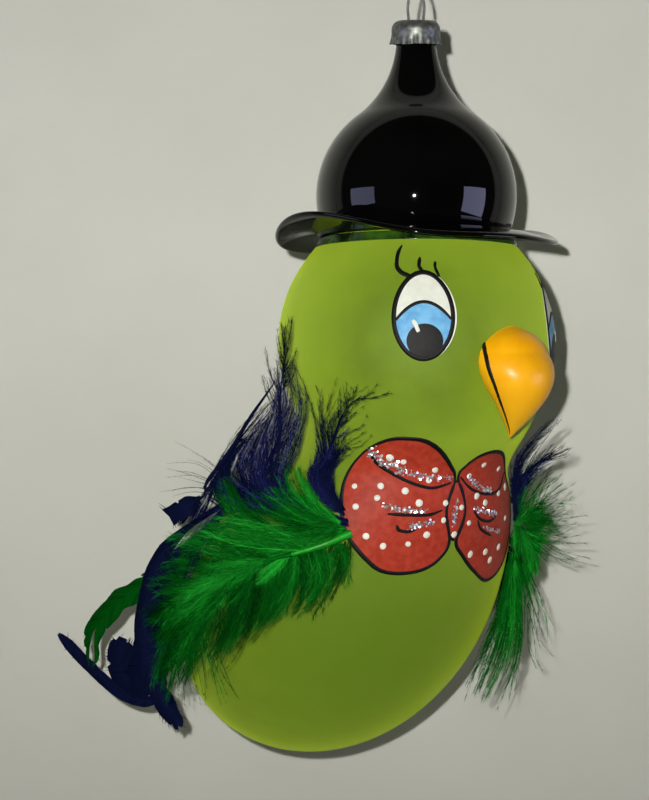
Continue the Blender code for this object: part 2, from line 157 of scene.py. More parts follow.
@dataclass(frozen=True)
class Finish:
    """A finish with mottled colour, uneven gloss and a fine relief.

    Attributes:
        name: what the real material is.
        dark: colour of the mottling's darker patches.
        light: colour of its lighter patches.
        roughness: middle roughness.
        grain: size of the mottling.
        relief: depth of the surface's relief.
        relief_grain: size of the relief.
        metallic: metallic value.
        sheen: weight of the haze at grazing angles.
        uneven: how much the roughness varies.
        shine: strength of the specular reflection.
        cover: share of what lies behind that is hidden.
    """

    name: str
    dark: str
    light: str
    roughness: float
    grain: float
    relief: float = 0.0
    relief_grain: float = 1.0
    metallic: float = 0.0
    sheen: float = 0.0
    uneven: float = 0.05
    shine: float = 0.5
    cover: float = 1.0

    STOPS = (0.35, 0.65)
    GLOSS_GRAIN = 0.7
    LEAST_ROUGH = 0.02

    def patches(self, tree: Tree, size: float) -> Socket:
        """Cloudy patches on object coordinates.

        Args:
            tree: node tree of the material.
            size: size of a patch in millimetres.

        Returns:
            Socket with values from 0 to 1.
        """
        place = add(tree, "TexCoord")
        noise = add(tree, "TexNoise", {"Scale": 1.0 / (size * MM), "Detail": 3.0},
                    Vector=place.outputs["Object"])
        return noise.outputs["Fac"]

    def colour(self, tree: Tree) -> Socket:
        """Mottled colour of the surface.

        Args:
            tree: node tree of the material.

        Returns:
            Socket with the colour.
        """
        stops = list(zip(self.STOPS, (self.dark, self.light)))
        ramp = add(tree, "ValToRGB", {"ramp": stops}, Fac=self.patches(tree, self.grain))
        return ramp.outputs["Color"]

    def extra(self, tree: Tree, shader: bpy.types.Node) -> None:
        """Further settings of a special finish."""

    def material(self) -> bpy.types.Material:
        """Material with this finish, made once.

        Returns:
            The material.
        """
        found = bpy.data.materials.get(self.name)
        if found:
            return found
        material = bpy.data.materials.new(self.name)
        material.use_nodes = True
        tree = material.node_tree
        shader = tree.nodes["Principled BSDF"]
        shader.inputs["Metallic"].default_value = self.metallic
        shader.inputs["Sheen Weight"].default_value = self.sheen
        shader.inputs["Specular IOR Level"].default_value = self.shine
        shader.inputs["Alpha"].default_value = self.cover
        tree.links.new(self.colour(tree), shader.inputs["Base Color"])
        gloss = add(tree, "MapRange",
                    {"To Min": max(self.LEAST_ROUGH, self.roughness - self.uneven),
                     "To Max": self.roughness + self.uneven},
                    Value=self.patches(tree, self.grain * self.GLOSS_GRAIN))
        tree.links.new(gloss.outputs["Result"], shader.inputs["Roughness"])
        if self.relief > 0.0:
            bump = add(tree, "Bump", {"Strength": 1.0, "Distance": self.relief * MM},
                       Height=self.patches(tree, self.relief_grain))
            tree.links.new(bump.outputs["Normal"], shader.inputs["Normal"])
        self.extra(tree, shader)
        return material


@dataclass(frozen=True)
class FrostedGlass(Finish):
    """Lacquered satin glass: deeper on the belly, hazy with a green sheen, and painted paler where it turns
    away as a painted sheen that is full on the head.
    """

    deep: str = "#55730f"
    deep_at: tuple[float, float, float] = (-12.0, -4.0, -172.0)
    deep_reach: float = 62.0
    haze: str = "#b4d01e"
    # Painted sheen: its share on the body, and the facing where it starts and where it is full
    painted_sheen_low: float = 0.15
    painted_sheen_from: float = 0.1
    painted_sheen_full: float = 0.75
    haze_roughness: float = 0.45
    # Colour of the painted sheen
    painted_sheen_colour: str = "#c0e440"

    def colour(self, tree: Tree) -> Socket:
        """Mottled colour that deepens towards the belly's front, with a painted pale sheen where the
        surface turns away, full on the head.

        Args:
            tree: node tree of the material.

        Returns:
            Socket with the colour.
        """
        shallow = super().colour(tree)
        place = add(tree, "TexCoord")
        middle = Vector(self.deep_at) * MM
        far = add(tree, "VectorMath", {"operation": "DISTANCE", 1: middle}, [place.outputs["Object"]])
        depth = add(tree, "MapRange",
                    {"interpolation_type": "SMOOTHSTEP", "From Min": self.deep_reach * MM, "From Max": 0.0},
                    Value=far.outputs["Value"])
        mix = add(tree, "MixRGB", {"Color2": linear(self.deep)},
                  Fac=depth.outputs["Result"], Color1=shallow)
        # Painted sheen: a paler colour mixed in where the surface turns from the view, full on the head and
        # weaker down the body
        split = add(tree, "SeparateXYZ", Vector=place.outputs["Object"])
        height = add(tree, "MapRange",
                     {"From Min": BODY_Z * MM, "From Max": HEAD_Z * MM, "To Min": self.painted_sheen_low},
                     Value=split.outputs["Z"])
        turned = add(tree, "LayerWeight", {"Blend": 0.5})
        edge = add(tree, "MapRange", {"From Min": self.painted_sheen_from, "From Max": self.painted_sheen_full},
                   Value=turned.outputs["Facing"])
        share = add(tree, "Math", {"operation": "MULTIPLY"},
                    [height.outputs["Result"], edge.outputs["Result"]])
        painted_sheen_mix = add(tree, "MixRGB", {"Color2": linear(self.painted_sheen_colour)},
                   Fac=share.outputs["Value"], Color1=mix.outputs["Color"])
        return painted_sheen_mix.outputs["Color"]

    def extra(self, tree: Tree, shader: bpy.types.Node) -> None:
        """Green haze at grazing angles."""
        shader.inputs["Sheen Tint"].default_value = linear(self.haze)
        shader.inputs["Sheen Roughness"].default_value = self.haze_roughness


@dataclass(frozen=True)
class StrandFinish(Finish):
    """Dyed feather: every strand has its own shade from its attribute, random tone mixed with painted light
    and shade.
    """

    middle: str = "#0c4e0e"

    def colour(self, tree: Tree) -> Socket:
        """Shade of a strand.

        Args:
            tree: node tree of the material.

        Returns:
            Socket with the colour.
        """
        shade = add(tree, "Attribute", {"attribute_name": "strand"})
        stops = [(0.0, self.dark), (0.5, self.middle), (1.0, self.light)]
        ramp = add(tree, "ValToRGB", {"ramp": stops}, Fac=shade.outputs["Fac"])
        return ramp.outputs["Color"]

    def extra(self, tree: Tree, shader: bpy.types.Node) -> None:
        """Sheen in the strand's own light colour."""
        shader.inputs["Sheen Tint"].default_value = linear(self.light)


@dataclass(frozen=True)
class GradedEnamel(Finish):
    """Enamel that runs to a deeper colour towards the lower end."""

    low: str = "#dca40f"
    top_z: float = HEAD_Z
    low_z: float = HEAD_Z - 24.0

    def colour(self, tree: Tree) -> Socket:
        """Mottled colour that deepens downwards.

        Args:
            tree: node tree of the material.

        Returns:
            Socket with the colour.
        """
        upper = super().colour(tree)
        place = add(tree, "TexCoord")
        split = add(tree, "SeparateXYZ", Vector=place.outputs["Object"])
        share = add(tree, "MapRange", {"From Min": self.top_z * MM, "From Max": self.low_z * MM},
                    Value=split.outputs["Z"])
        mix = add(tree, "MixRGB", {"Color2": linear(self.low)},
                  Fac=share.outputs["Result"], Color1=upper)
        return mix.outputs["Color"]


class Finishes:
    """All finishes of the ornament. Each comment says what it gives the eye."""

    # Satin lacquer over blown glass, cloudy, with a green sheen and a painted pale sheen at its edges, full
    # on the head
    GREEN_GLASS = FrostedGlass("frosted_green_glass", "#667f17", "#6e891a", 0.62, 9.0, 0.01, 0.35,
                               sheen=0.6, shine=0.22)
    # Deep gloss black that mirrors the windows
    BLACK_GLASS = Finish("gloss_black_glass", "#020202", "#050505", 0.035, 14.0, uneven=0.012, shine=0.34)
    # Thick warm enamel, glossy, deeper towards the hook
    YELLOW_ENAMEL = GradedEnamel("warm_yellow_enamel", "#f8aa06", "#ffb60c", 0.36, 5.0, 0.02, 2.5,
                                 shine=0.3)
    # Brushed hobby paints with a little streaking
    RED_PAINT = Finish("red_paint", "#9b2c17", "#ac3a26", 0.55, 1.6, 0.02, 0.5, shine=0.2)
    BLACK_PAINT = Finish("black_paint", "#060605", "#0e0d0b", 0.55, 1.2, 0.015, 0.5, shine=0.2)
    WHITE_PAINT = Finish("white_paint", "#dcdfd2", "#e6e9dc", 0.5, 2.0, 0.015, 0.6, shine=0.25)
    BLUE_PAINT = Finish("blue_paint", "#5c9fd2", "#74b8e2", 0.5, 2.2, 0.015, 0.6, shine=0.25)
    # Silver flakes that flash one by one
    GLITTER = StrandFinish("silver_glitter", "#9aa0a4", "#ffffff", 0.3, 1.0, metallic=0.8, middle="#d3d7d8")
    # Clear craft glue, nearly all see-through
    CLEAR_GLUE = Finish("clear_glue", "#8d8b80", "#a5a397", 0.06, 1.5, 0.1, 0.9, uneven=0.03, cover=0.05)
    # Green-tinted glossy glue squeezed out under the brim
    BEAD_GLUE = Finish("brim_glue", "#0a1405", "#335818", 0.16, 5.0, 0.1, 1.6)
    # Thin crimped aluminium, bright and softly scratched
    ALUMINIUM = Finish("crimped_aluminium", "#62655f", "#8c8f88", 0.46, 1.2, 0.02, 0.3,
                       metallic=0.8, uneven=0.1)
    # Drawn spring steel, smooth and softly bright
    STEEL = Finish("spring_steel", "#80817e", "#a9aaa6", 0.34, 1.5, 0.006, 0.2, metallic=0.85)
    # Dyed marabou: bright green lit strands over dark green ones
    GREEN_FEATHER = StrandFinish("dyed_green_marabou", "#01280a", "#2cc23c", 0.7, 1.0,
                                 middle="#075e13", shine=0.0)
    # Dyed navy, nearly black with violet-blue lights
    NAVY_FEATHER = StrandFinish("dyed_navy_marabou", "#060a14", "#3a3c9c", 0.7, 1.0,
                                middle="#11173a", shine=0.0)
    # Dyed quill, smooth with a soft shine
    GREEN_QUILL = Finish("green_quill", "#077d0d", "#0d9815", 0.4, 2.0, 0.02, 0.6, shine=0.3)
    # The same quill in the shade of its own barbs
    SHADED_QUILL = Finish("shaded_quill", "#04500c", "#066614", 0.5, 2.0, 0.02, 0.6, shine=0.2)
    # Dry pith at the cut end, pale and matt
    PITH = Finish("quill_pith", "#b9c9a0", "#dfe6cf", 0.6, 0.4)


class Form:
    """A form of level circles, each with its own radius and centre."""

    WIDER = 1.0

    def section(self, height: float) -> Pair:
        """Radius of a level section, and how far back its centre lies."""
        raise NotImplementedError

    def place(self, turn: float, height: float, standoff: float) -> Vector:
        """Point off the form.

        Args:
            turn: degrees from the front towards the bird's right.
            height: height of the point.
            standoff: level distance from the form.

        Returns:
            The point.
        """
        radius, back = self.section(height)
        angle = math.radians(turn)
        reach = radius + standoff
        return Vector((-math.sin(angle) * reach * self.WIDER, back - math.cos(angle) * reach, height))


class BirdForm(Form):
    """Outer skin of the glass: level circles, a ball for the head and a leaning egg for the body."""

    HEAD_RADIUS = 34.4
    BODY_RADIUS = 41.0
    BODY_RISE = 52.0
    BODY_DROP = 42.5
    BACK = 30.5
    LEAN = 0.44
    CURVE = 0.0029
    BLEND = 4

    def sections(self, heights: Rows) -> tuple[Rows, Rows]:
        """Radius and centre of level sections.

        Args:
            heights: heights of the sections.

        Returns:
            Their radii, and how far back their centres lie.
        """
        heights = np.asarray(heights, float)
        head_share = (heights - HEAD_Z) / self.HEAD_RADIUS
        head = self.HEAD_RADIUS * np.sqrt(np.clip(1.0 - head_share ** 2, 0.0, None))
        reach = np.where(heights > BODY_Z, self.BODY_RISE, self.BODY_DROP)
        body = self.BODY_RADIUS * np.sqrt(np.clip(1.0 - ((heights - BODY_Z) / reach) ** 2, 0.0, None))
        total = np.maximum(head ** self.BLEND + body ** self.BLEND, 1e-9)
        below = BODY_Z - heights
        back = self.BACK + self.LEAN * below - self.CURVE * below ** 2
        return total ** (1.0 / self.BLEND), back * body ** self.BLEND / total

    def section(self, height: float) -> Pair:
        """Radius and centre of one level section."""
        radius, back = self.sections(np.array([height]))
        return float(radius[0]), float(back[0])

    def standoff(self, point: Vector) -> float:
        """How far a point lies outside the glass, measured level."""
        radius, back = self.section(point[2])
        return math.hypot(point[0], point[1] - back) - radius

    def outward(self, point: Vector) -> Vector:
        """Direction in which a point leaves the glass soonest.

        Args:
            point: point near the glass.

        Returns:
            Direction of length one.
        """
        step = 0.5
        slopes = []
        for axis in (Vector((step, 0, 0)), Vector((0, step, 0)), Vector((0, 0, step))):
            slopes.append(self.standoff(point + axis) - self.standoff(point - axis))
        return Vector(slopes).normalized()

    def cleared(self, points: Rows, least: float) -> Rows:
        """Points pushed out level until they stand off the glass by a least distance.

        Args:
            points: rows of points.
            least: least distance.

        Returns:
            The moved rows.
        """
        radius, back = self.sections(points[:, 2])
        level = points[:, :2] - np.stack([np.zeros_like(back), back], 1)
        reach = np.maximum(np.linalg.norm(level, axis=1), 1e-6)
        wanted = np.maximum(reach, radius + least)
        moved = points.copy()
        moved[:, :2] += level * (wanted / reach - 1.0)[:, None]
        return moved


class BeakForm(Form):
    """Outer skin of the beak: level circles strung along a hook in front of the head."""

    RADIUS = 8.8
    HEIGHT = 26.3
    TOP = HEAD_Z + 2.9
    BULB = 0.62
    HOOK = 3.2
    FRONT = BirdForm.HEAD_RADIUS - 1.1
    WIDER = 1.1

    def section(self, height: float) -> Pair:
        """Radius of a level section, and how far back its centre lies.

        Args:
            height: height of the section.

        Returns:
            Radius and place of the centre.
        """
        share = min(max((self.TOP - height) / self.HEIGHT, 0.0), 1.0)
        radius = self.RADIUS * math.sin(math.pi * share ** self.BULB)
        bend = math.sin(math.pi * max(0.0, (share - 0.25) / 0.75))
        return max(radius, 0.0), -(self.FRONT + self.HOOK * bend)


BIRD = BirdForm()
BEAK = BeakForm()


def smooth(points: Line, steps: int, closed: bool = False) -> list[Vector]:
    """Points spaced evenly by length along a curve through the given ones.

    Args:
        points: points that the curve passes.
        steps: number of equal steps.
        closed: whether the curve runs back to its start.

    Returns:
        One more point than steps, or as many when closed.
    """
    points = [Vector(point) for point in points]
    if closed:
        ends = [points[-1]] + points + points[:2]
    else:
        ends = [points[0] * 2 - points[1]] + points + [points[-1] * 2 - points[-2]]
    fine = []
    for before, start, end, after in zip(ends, ends[1:], ends[2:], ends[3:]):
        for part in range(CURVE_PARTS):
            t = part / CURVE_PARTS
            fine.append(0.5 * (2 * start + (end - before) * t
                               + (2 * before - 5 * start + 4 * end - after) * t ** 2
                               + (3 * start - before - 3 * end + after) * t ** 3))
    fine.append(fine[0] if closed else points[-1])
    rows = np.array([tuple(point) for point in fine])
    run = np.concatenate([[0.0], np.cumsum(np.linalg.norm(np.diff(rows, axis=0), axis=1))])
    wanted = np.linspace(0.0, run[-1], steps + 1)
    even = np.stack([np.interp(wanted, run, column) for column in rows.T], 1)
    return [Vector(row) for row in (even[:-1] if closed else even)]


def activate(piece: Piece) -> None:
    """Leave only one object selected and active.

    Args:
        piece: object to select.
    """
    bpy.ops.object.select_all(action="DESELECT")
    piece.select_set(True)
    bpy.context.view_layer.objects.active = piece


def apply(piece: Piece, kind: str, **settings: object) -> None:
    """Add a modifier and apply it.

    Args:
        piece: object to change.
        kind: type of the modifier.
        **settings: its settings.
    """
    activate(piece)
    bpy.ops.object.modifier_add(type=kind)
    modifier = piece.modifiers[-1]
    for name, value in settings.items():
        setattr(modifier, name, value)
    bpy.ops.object.modifier_apply(modifier=modifier.name)


def new_piece(name: str, data: bpy.types.ID) -> Piece:
    """Link a new object and make it active.

    Args:
        name: name of the piece.
        data: its mesh or curve.

    Returns:
        The new piece.
    """
    piece = bpy.data.objects.new(name, data)
    bpy.context.scene.collection.objects.link(piece)
    activate(piece)
    return piece


def lathe(name: str, profile: Path, steps: int, shape: Shape | None = None,
          closed: bool = False) -> Piece:
    """Spin a profile about Z in edit mode, then move its points.

    Args:
        name: name of the piece.
        profile: radius and height of each point.
        steps: number of segments in the turn.
        shape: where a turned point goes.
        closed: whether the profile runs back to its start.

    Returns:
        The new piece.
    """
    mesh = bpy.data.meshes.new(name)
    edges = [(index, index + 1) for index in range(len(profile) - 1)]
    if closed:
        edges.append((len(profile) - 1, 0))
    mesh.from_pydata([(radius * MM, 0.0, height * MM) for radius, height in profile], edges, [])
    piece = new_piece(name, mesh)
    bpy.ops.object.mode_set(mode="EDIT")
    bpy.ops.mesh.select_all(action="SELECT")
    bpy.ops.mesh.spin(steps=steps, angle=math.tau, center=(0.0, 0.0, 0.0), axis=(0.0, 0.0, 1.0))
    bpy.ops.mesh.select_all(action="SELECT")
    bpy.ops.mesh.remove_doubles(threshold=WELD)
    bpy.ops.mesh.normals_make_consistent(inside=False)
    bpy.ops.object.mode_set(mode="OBJECT")
    if shape:
        for vertex in mesh.vertices:
            vertex.co = shape(vertex.co / MM) * MM
    bpy.ops.object.shade_smooth()
    return piece


def tube(name: str, points: Line, radii: Sequence[float], rounds: int) -> Piece:
    """Bevelled curve with its own radius at each point, made a mesh.

    Args:
        name: name of the piece.
        points: middle line.
        radii: radius at each point.
        rounds: bevel resolution.

    Returns:
        The new piece.
    """
    curve = bpy.data.curves.new(name, "CURVE")
    curve.dimensions = "3D"
    curve.bevel_depth = MM
    curve.bevel_resolution = rounds
    curve.use_fill_caps = True
    spline = curve.splines.new("POLY")
    spline.points.add(len(points) - 1)
    for spot, point, radius in zip(spline.points, points, radii):
        spot.co = (*(Vector(point) * MM), 1.0)
        spot.radius = radius
    piece = new_piece(name, curve)
    bpy.ops.object.convert(target="MESH")
    piece.data.name = name
    bpy.ops.object.shade_smooth()
    return piece


def dress(piece: Piece, slot: str, finish: Finish, nodes: Sequence[str] = (),
          body: Body = Body.BIRD) -> None:
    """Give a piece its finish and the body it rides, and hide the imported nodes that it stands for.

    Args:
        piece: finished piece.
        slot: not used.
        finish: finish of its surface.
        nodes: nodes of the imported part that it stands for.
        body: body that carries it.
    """
    piece.data.materials.clear()
    piece.data.materials.append(finish.material())
    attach(piece, body.value)
    for node in nodes:
        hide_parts(node)
    LOG.info("%s: %d faces", piece.name, len(piece.data.polygons))


def unit(rows: Rows) -> Rows:
    """Rows scaled to length one."""
    return rows / np.maximum(np.linalg.norm(rows, axis=-1, keepdims=True), 1e-9)


class Soup:
    """Points and faces that many strands or strokes share."""

    # Direction that few strands follow, so that a section turned from it keeps its shape
    GUIDE = (0.31, 0.27, 0.91)

    def __init__(self) -> None:
        """Start with nothing."""
        self.points: list[Rows] = []
        self.faces: list[Rows] = []
        self.shades: list[Rows] = []
        self.count = 0

    def grow(self, points: Rows, faces: Rows, shades: Rows | float) -> None:
        """Add points, faces that count from zero within them, and their shades.

        Args:
            points: rows of points.
            faces: corners of the faces.
            shades: one shade, or one for each point.
        """
        self.points.append(np.asarray(points, float))
        self.faces.append(np.asarray(faces, int) + self.count)
        self.shades.append(np.broadcast_to(np.asarray(shades, float), (len(points),)))
        self.count += len(points)

    def tube(self, path: Rows, radii: Rows, shade: float, sides: int) -> None:
        """Add a closed tapering tube along a path.

        Args:
            path: middle line.
            radii: radius at each of its points.
            shade: shade of the strand.
            sides: sides of its section.
        """
        along = unit(np.gradient(path, axis=0))
        across = unit(np.cross(along, self.GUIDE))
        other = np.cross(across, along)
        turns = np.arange(sides) * math.tau / sides
        ring = (across[:, None] * np.cos(turns)[None, :, None]
                + other[:, None] * np.sin(turns)[None, :, None])
        points = (path[:, None] + ring * radii[:, None, None]).reshape(-1, 3)
        self.grow(points, self.walls(len(path), sides), shade)

    def loft(self, rings: Rows, shades: Rows) -> None:
        """Add a closed solid through rings of points, faces outward.

        Args:
            rings: rings of points, as many in each.
            shades: shade of each point.
        """
        rows, sides = rings.shape[:2]
        points = rings.reshape(-1, 3)
        faces = self.walls(rows, sides)
        corner = points[faces] - points.mean(0)
        if np.einsum("ij,ij->i", corner[:, 0], np.cross(corner[:, 1], corner[:, 2])).sum() < 0.0:
            faces = faces[:, ::-1]
        self.grow(points, faces, shades.ravel())

    @staticmethod
    def walls(rows: int, sides: int, closed: bool = False) -> Rows:
        """Faces of a tube of rings, with both ends filled unless it is closed.

        Args:
            rows: number of rings.
            sides: points in a ring.
            closed: whether the last ring runs back to the first.

        Returns:
            Corners of each face.
        """
        first = np.arange(rows if closed else rows - 1)[:, None] * sides
        near = (first + np.arange(sides)).ravel()
        aside = (first + np.roll(np.arange(sides), -1)).ravel()
        far, far_aside = (near + sides) % (rows * sides), (aside + sides) % (rows * sides)
        faces = [np.stack([near, aside, far_aside], 1), np.stack([near, far_aside, far], 1)]
        if not closed:
            fan = np.arange(1, sides - 1)
            zero = np.zeros_like(fan)
            faces.append(np.stack([zero, fan + 1, fan], 1))
            faces.append(np.stack([zero, fan, fan + 1], 1) + (rows - 1) * sides)
        return np.concatenate(faces)

    def piece(self, name: str, strands: bool = False) -> Piece:
        """Make the piece, its shades kept as the attribute strand.

        Args:
            name: name of the piece.
            strands: whether its colour comes from the shade alone, which is then its unwrapped place.

        Returns:
            The piece.
        """
        points = np.concatenate(self.points) * MM
        faces = np.concatenate(self.faces)
        mesh = bpy.data.meshes.new(name)
        mesh.from_pydata(points.tolist(), [], faces.tolist())
        shades = np.clip(np.concatenate(self.shades), 0.0, 1.0)
        layer = mesh.attributes.new("strand", "FLOAT", "POINT")
        layer.data.foreach_set("value", shades.astype(np.float32))
        if strands:
            unwrapped = mesh.uv_layers.new(name="OFBake")
            across = 0.03 + 0.94 * shades[faces] + np.array([-0.006, 0.006, 0.0])
            along = np.broadcast_to(np.array([0.04, 0.5, 0.96]), across.shape)
            unwrapped.data.foreach_set("uv", np.stack([across, along], -1).ravel().astype(np.float32))
        return new_piece(name, mesh)


class GlassBody:
    """The blown bird itself, a shell that is open under the hat."""

    WALL = 1.1
    BLOW_HOLE = 6.0
    ROWS = 110
    STEPS = 128

    def side(self, inset: float) -> list[Pair]:
        """Profile from the blow hole to the bottom, set in by a wall.

        Args:
            inset: thickness of the wall, zero for the outer skin.

        Returns:
            Radius and height of each point.
        """
        top = HEAD_Z + math.sqrt(BIRD.HEAD_RADIUS ** 2 - self.BLOW_HOLE ** 2)
        low = BODY_Z - BIRD.BODY_DROP
        middle = (top + low) / 2
        half = (top - low) / 2
        points = []
        for row in range(self.ROWS + 1):
            height = middle + half * math.cos(math.pi * row / self.ROWS)
            radius = BIRD.section(height)[0] if row < self.ROWS else 0.0
            if row < self.ROWS:
                radius = max(radius - inset, 0.05)
            points.append((radius, height - inset * (height - middle) / half))
        return points

    def build(self) -> Piece:
        """Outer and inner skin in one piece."""
        profile = self.side(0.0) + self.side(self.WALL)[::-1]
        return lathe("frosted_body", profile, self.STEPS, self.lean, closed=True)

    @staticmethod
    def lean(point: Vector) -> Vector:
        """Carry a level section back to its place."""
        return point + Vector((0.0, BIRD.section(point.z)[1], 0.0))

    def dress(self) -> None:
        """Build and finish the body."""
        dress(self.build(), "green_glass", Finishes.GREEN_GLASS, ["bird_body"])


@dataclass
class Hat:
    """Black glass bowler: a bulb drawn into the cap's neck, a curled brim and a bead of glue."""

    neck: float = 4.9
    neck_drop: float = 0.9
    fillet: float = 25.0
    crown: float = 25.0
    edge_drop: float = 9.0
    wall: float = 1.0
    brim: float = 35.2
    brim_sheet: float = 1.2
    gap: float = 0.3
    bead_width: float = 1.5
    bead_depth: float = 2.2

    CURL = (-0.45, -0.65, -2.8, 0.0, 1.0)
    CURL_POWER = 1.5
    LUMPS = (3, 5, 7, 11, 17)
    SEED = 5
    CROWN_STEPS = 128
    BRIM_STEPS = 160
    BEAD_STEPS = 120

    @staticmethod
    def arc(middle: Pair, radius: float, start: float, end: float,
            count: int) -> list[Pair]:
        """Points of an arc in a profile."""
        angles = [start + (end - start) * step / count for step in range(count + 1)]
        return [(middle[0] + radius * math.cos(a), middle[1] + radius * math.sin(a)) for a in angles]

    def crown_side(self, wall: float, count: int) -> list[Pair]:
        """Profile from the neck's rim to the crown's lower edge, set in by a wall.

        Args:
            wall: thickness of the wall, zero for the outer skin.
            count: steps in each arc.

        Returns:
            Radius and height of each point.
        """
        bulb = self.crown - wall
        hollow = self.neck + self.fillet
        lift = math.sqrt((self.crown + self.fillet) ** 2 - hollow ** 2)
        meet = math.atan2(lift, hollow)
        low = -math.asin(self.edge_drop / bulb)
        neck = self.arc((hollow, CROWN_Z + lift), self.fillet + wall, math.pi, math.pi + meet, count)
        dome = self.arc((0.0, CROWN_Z), bulb, meet, low, count)
        return [(self.neck - wall, NECK_TOP - self.neck_drop)] + neck[1:] + dome[1:]

    @staticmethod
    def head_radius(height: float) -> float:
        """Radius of the head ball at a height."""
        return math.sqrt(BIRD.HEAD_RADIUS ** 2 - (height - HEAD_Z) ** 2)

    def curl(self, point: Vector) -> Vector:
        """Lift a brim point to the bowler's curl.

        Args:
            point: point of a flat brim.

        Returns:
            Its place on the curled one.
        """
        flat_to = self.flat_to()
        share = max(0.0, (math.hypot(point.x, point.y) - flat_to) / (self.brim - flat_to))
        angle = math.atan2(-point.x, -point.y)
        lift = sum(size * math.cos(count * angle) for count, size in enumerate(self.CURL))
        return point + Vector((0.0, 0.0, lift * share ** self.CURL_POWER))

    def flat_to(self) -> float:
        """Radius at which the brim starts to curl."""
        low = BRIM_TOP - self.brim_sheet
        return self.head_radius(low) + self.gap + self.bead_width + self.gap

    def build_crown(self) -> Piece:
        """Bulb and neck with their inner wall."""
        profile = self.crown_side(0.0, 32) + self.crown_side(self.wall, 16)[::-1]
        return lathe("hat_bulb", profile, self.CROWN_STEPS, closed=True)

    def build_brim(self) -> Piece:
        """Ring with a rounded rim and a bowler's curl.

        Returns:
            The new piece.
        """
        low = BRIM_TOP - self.brim_sheet
        middle = (BRIM_TOP + low) / 2
        half = self.brim_sheet / 2
        inner_top = self.head_radius(BRIM_TOP) + self.gap
        inner_low = self.head_radius(low) + self.gap
        rows = 14
        top = [(inner_top + (self.brim - half - inner_top) * row / rows, BRIM_TOP) for row in range(rows)]
        rim = self.arc((self.brim - half, middle), half, math.pi / 2, -math.pi / 2, 8)
        under = [(inner_low + (self.brim - half - inner_low) * row / rows, low)
                 for row in range(rows - 1, -1, -1)]
        return lathe("hat_rim", top + rim + under, self.BRIM_STEPS, self.curl, closed=True)

    def build_bead(self) -> Piece:
        """Squeezed-out glue in the corner under the brim, lumpy all round.

        Returns:
            The new piece.
        """
        draw = random.Random(self.SEED)
        waves = [(count, draw.uniform(0.0, math.tau), draw.uniform(0.04, 0.1))
                 for count in self.LUMPS]
        top = BRIM_TOP - self.brim_sheet - self.gap
        profile = []
        count = 9
        for step in range(count + 1):
            share = step / count
            height = top - self.bead_depth * share
            swell = self.bead_width * (1.0 - share) * (0.55 + 0.45 * math.sqrt(1.0 - share))
            profile.append((self.head_radius(height) + 0.05 + swell, height))
        for step in range(count - 1, -1, -1):
            height = top - self.bead_depth * step / count
            profile.append((self.head_radius(height) + 0.02, height))

        def lump(point: Vector) -> Vector:
            """Swell the bead unevenly.

            Args:
                point: point of an even bead.

            Returns:
                Its place on the lumpy one.
            """
            angle = math.atan2(point.y, point.x)
            push = 1.0 + sum(size * math.sin(number * angle + start) for number, start, size in waves)
            flat = math.hypot(point.x, point.y)
            inner = self.head_radius(point.z)
            wanted = inner + (flat - inner) * push
            return Vector((point.x * wanted / flat, point.y * wanted / flat, point.z))

        return lathe("brim_glue", profile, self.BEAD_STEPS, lump, closed=True)

    def dress(self) -> None:
        """Build and finish the hat."""
        dress(self.build_crown(), "black_glass", Finishes.BLACK_GLASS, ["hat_crown"])
        dress(self.build_brim(), "black_glass", Finishes.BLACK_GLASS, ["hat_brim"])
        dress(self.build_bead(), "glue", Finishes.BEAD_GLUE, ["hat_glue_bead"])


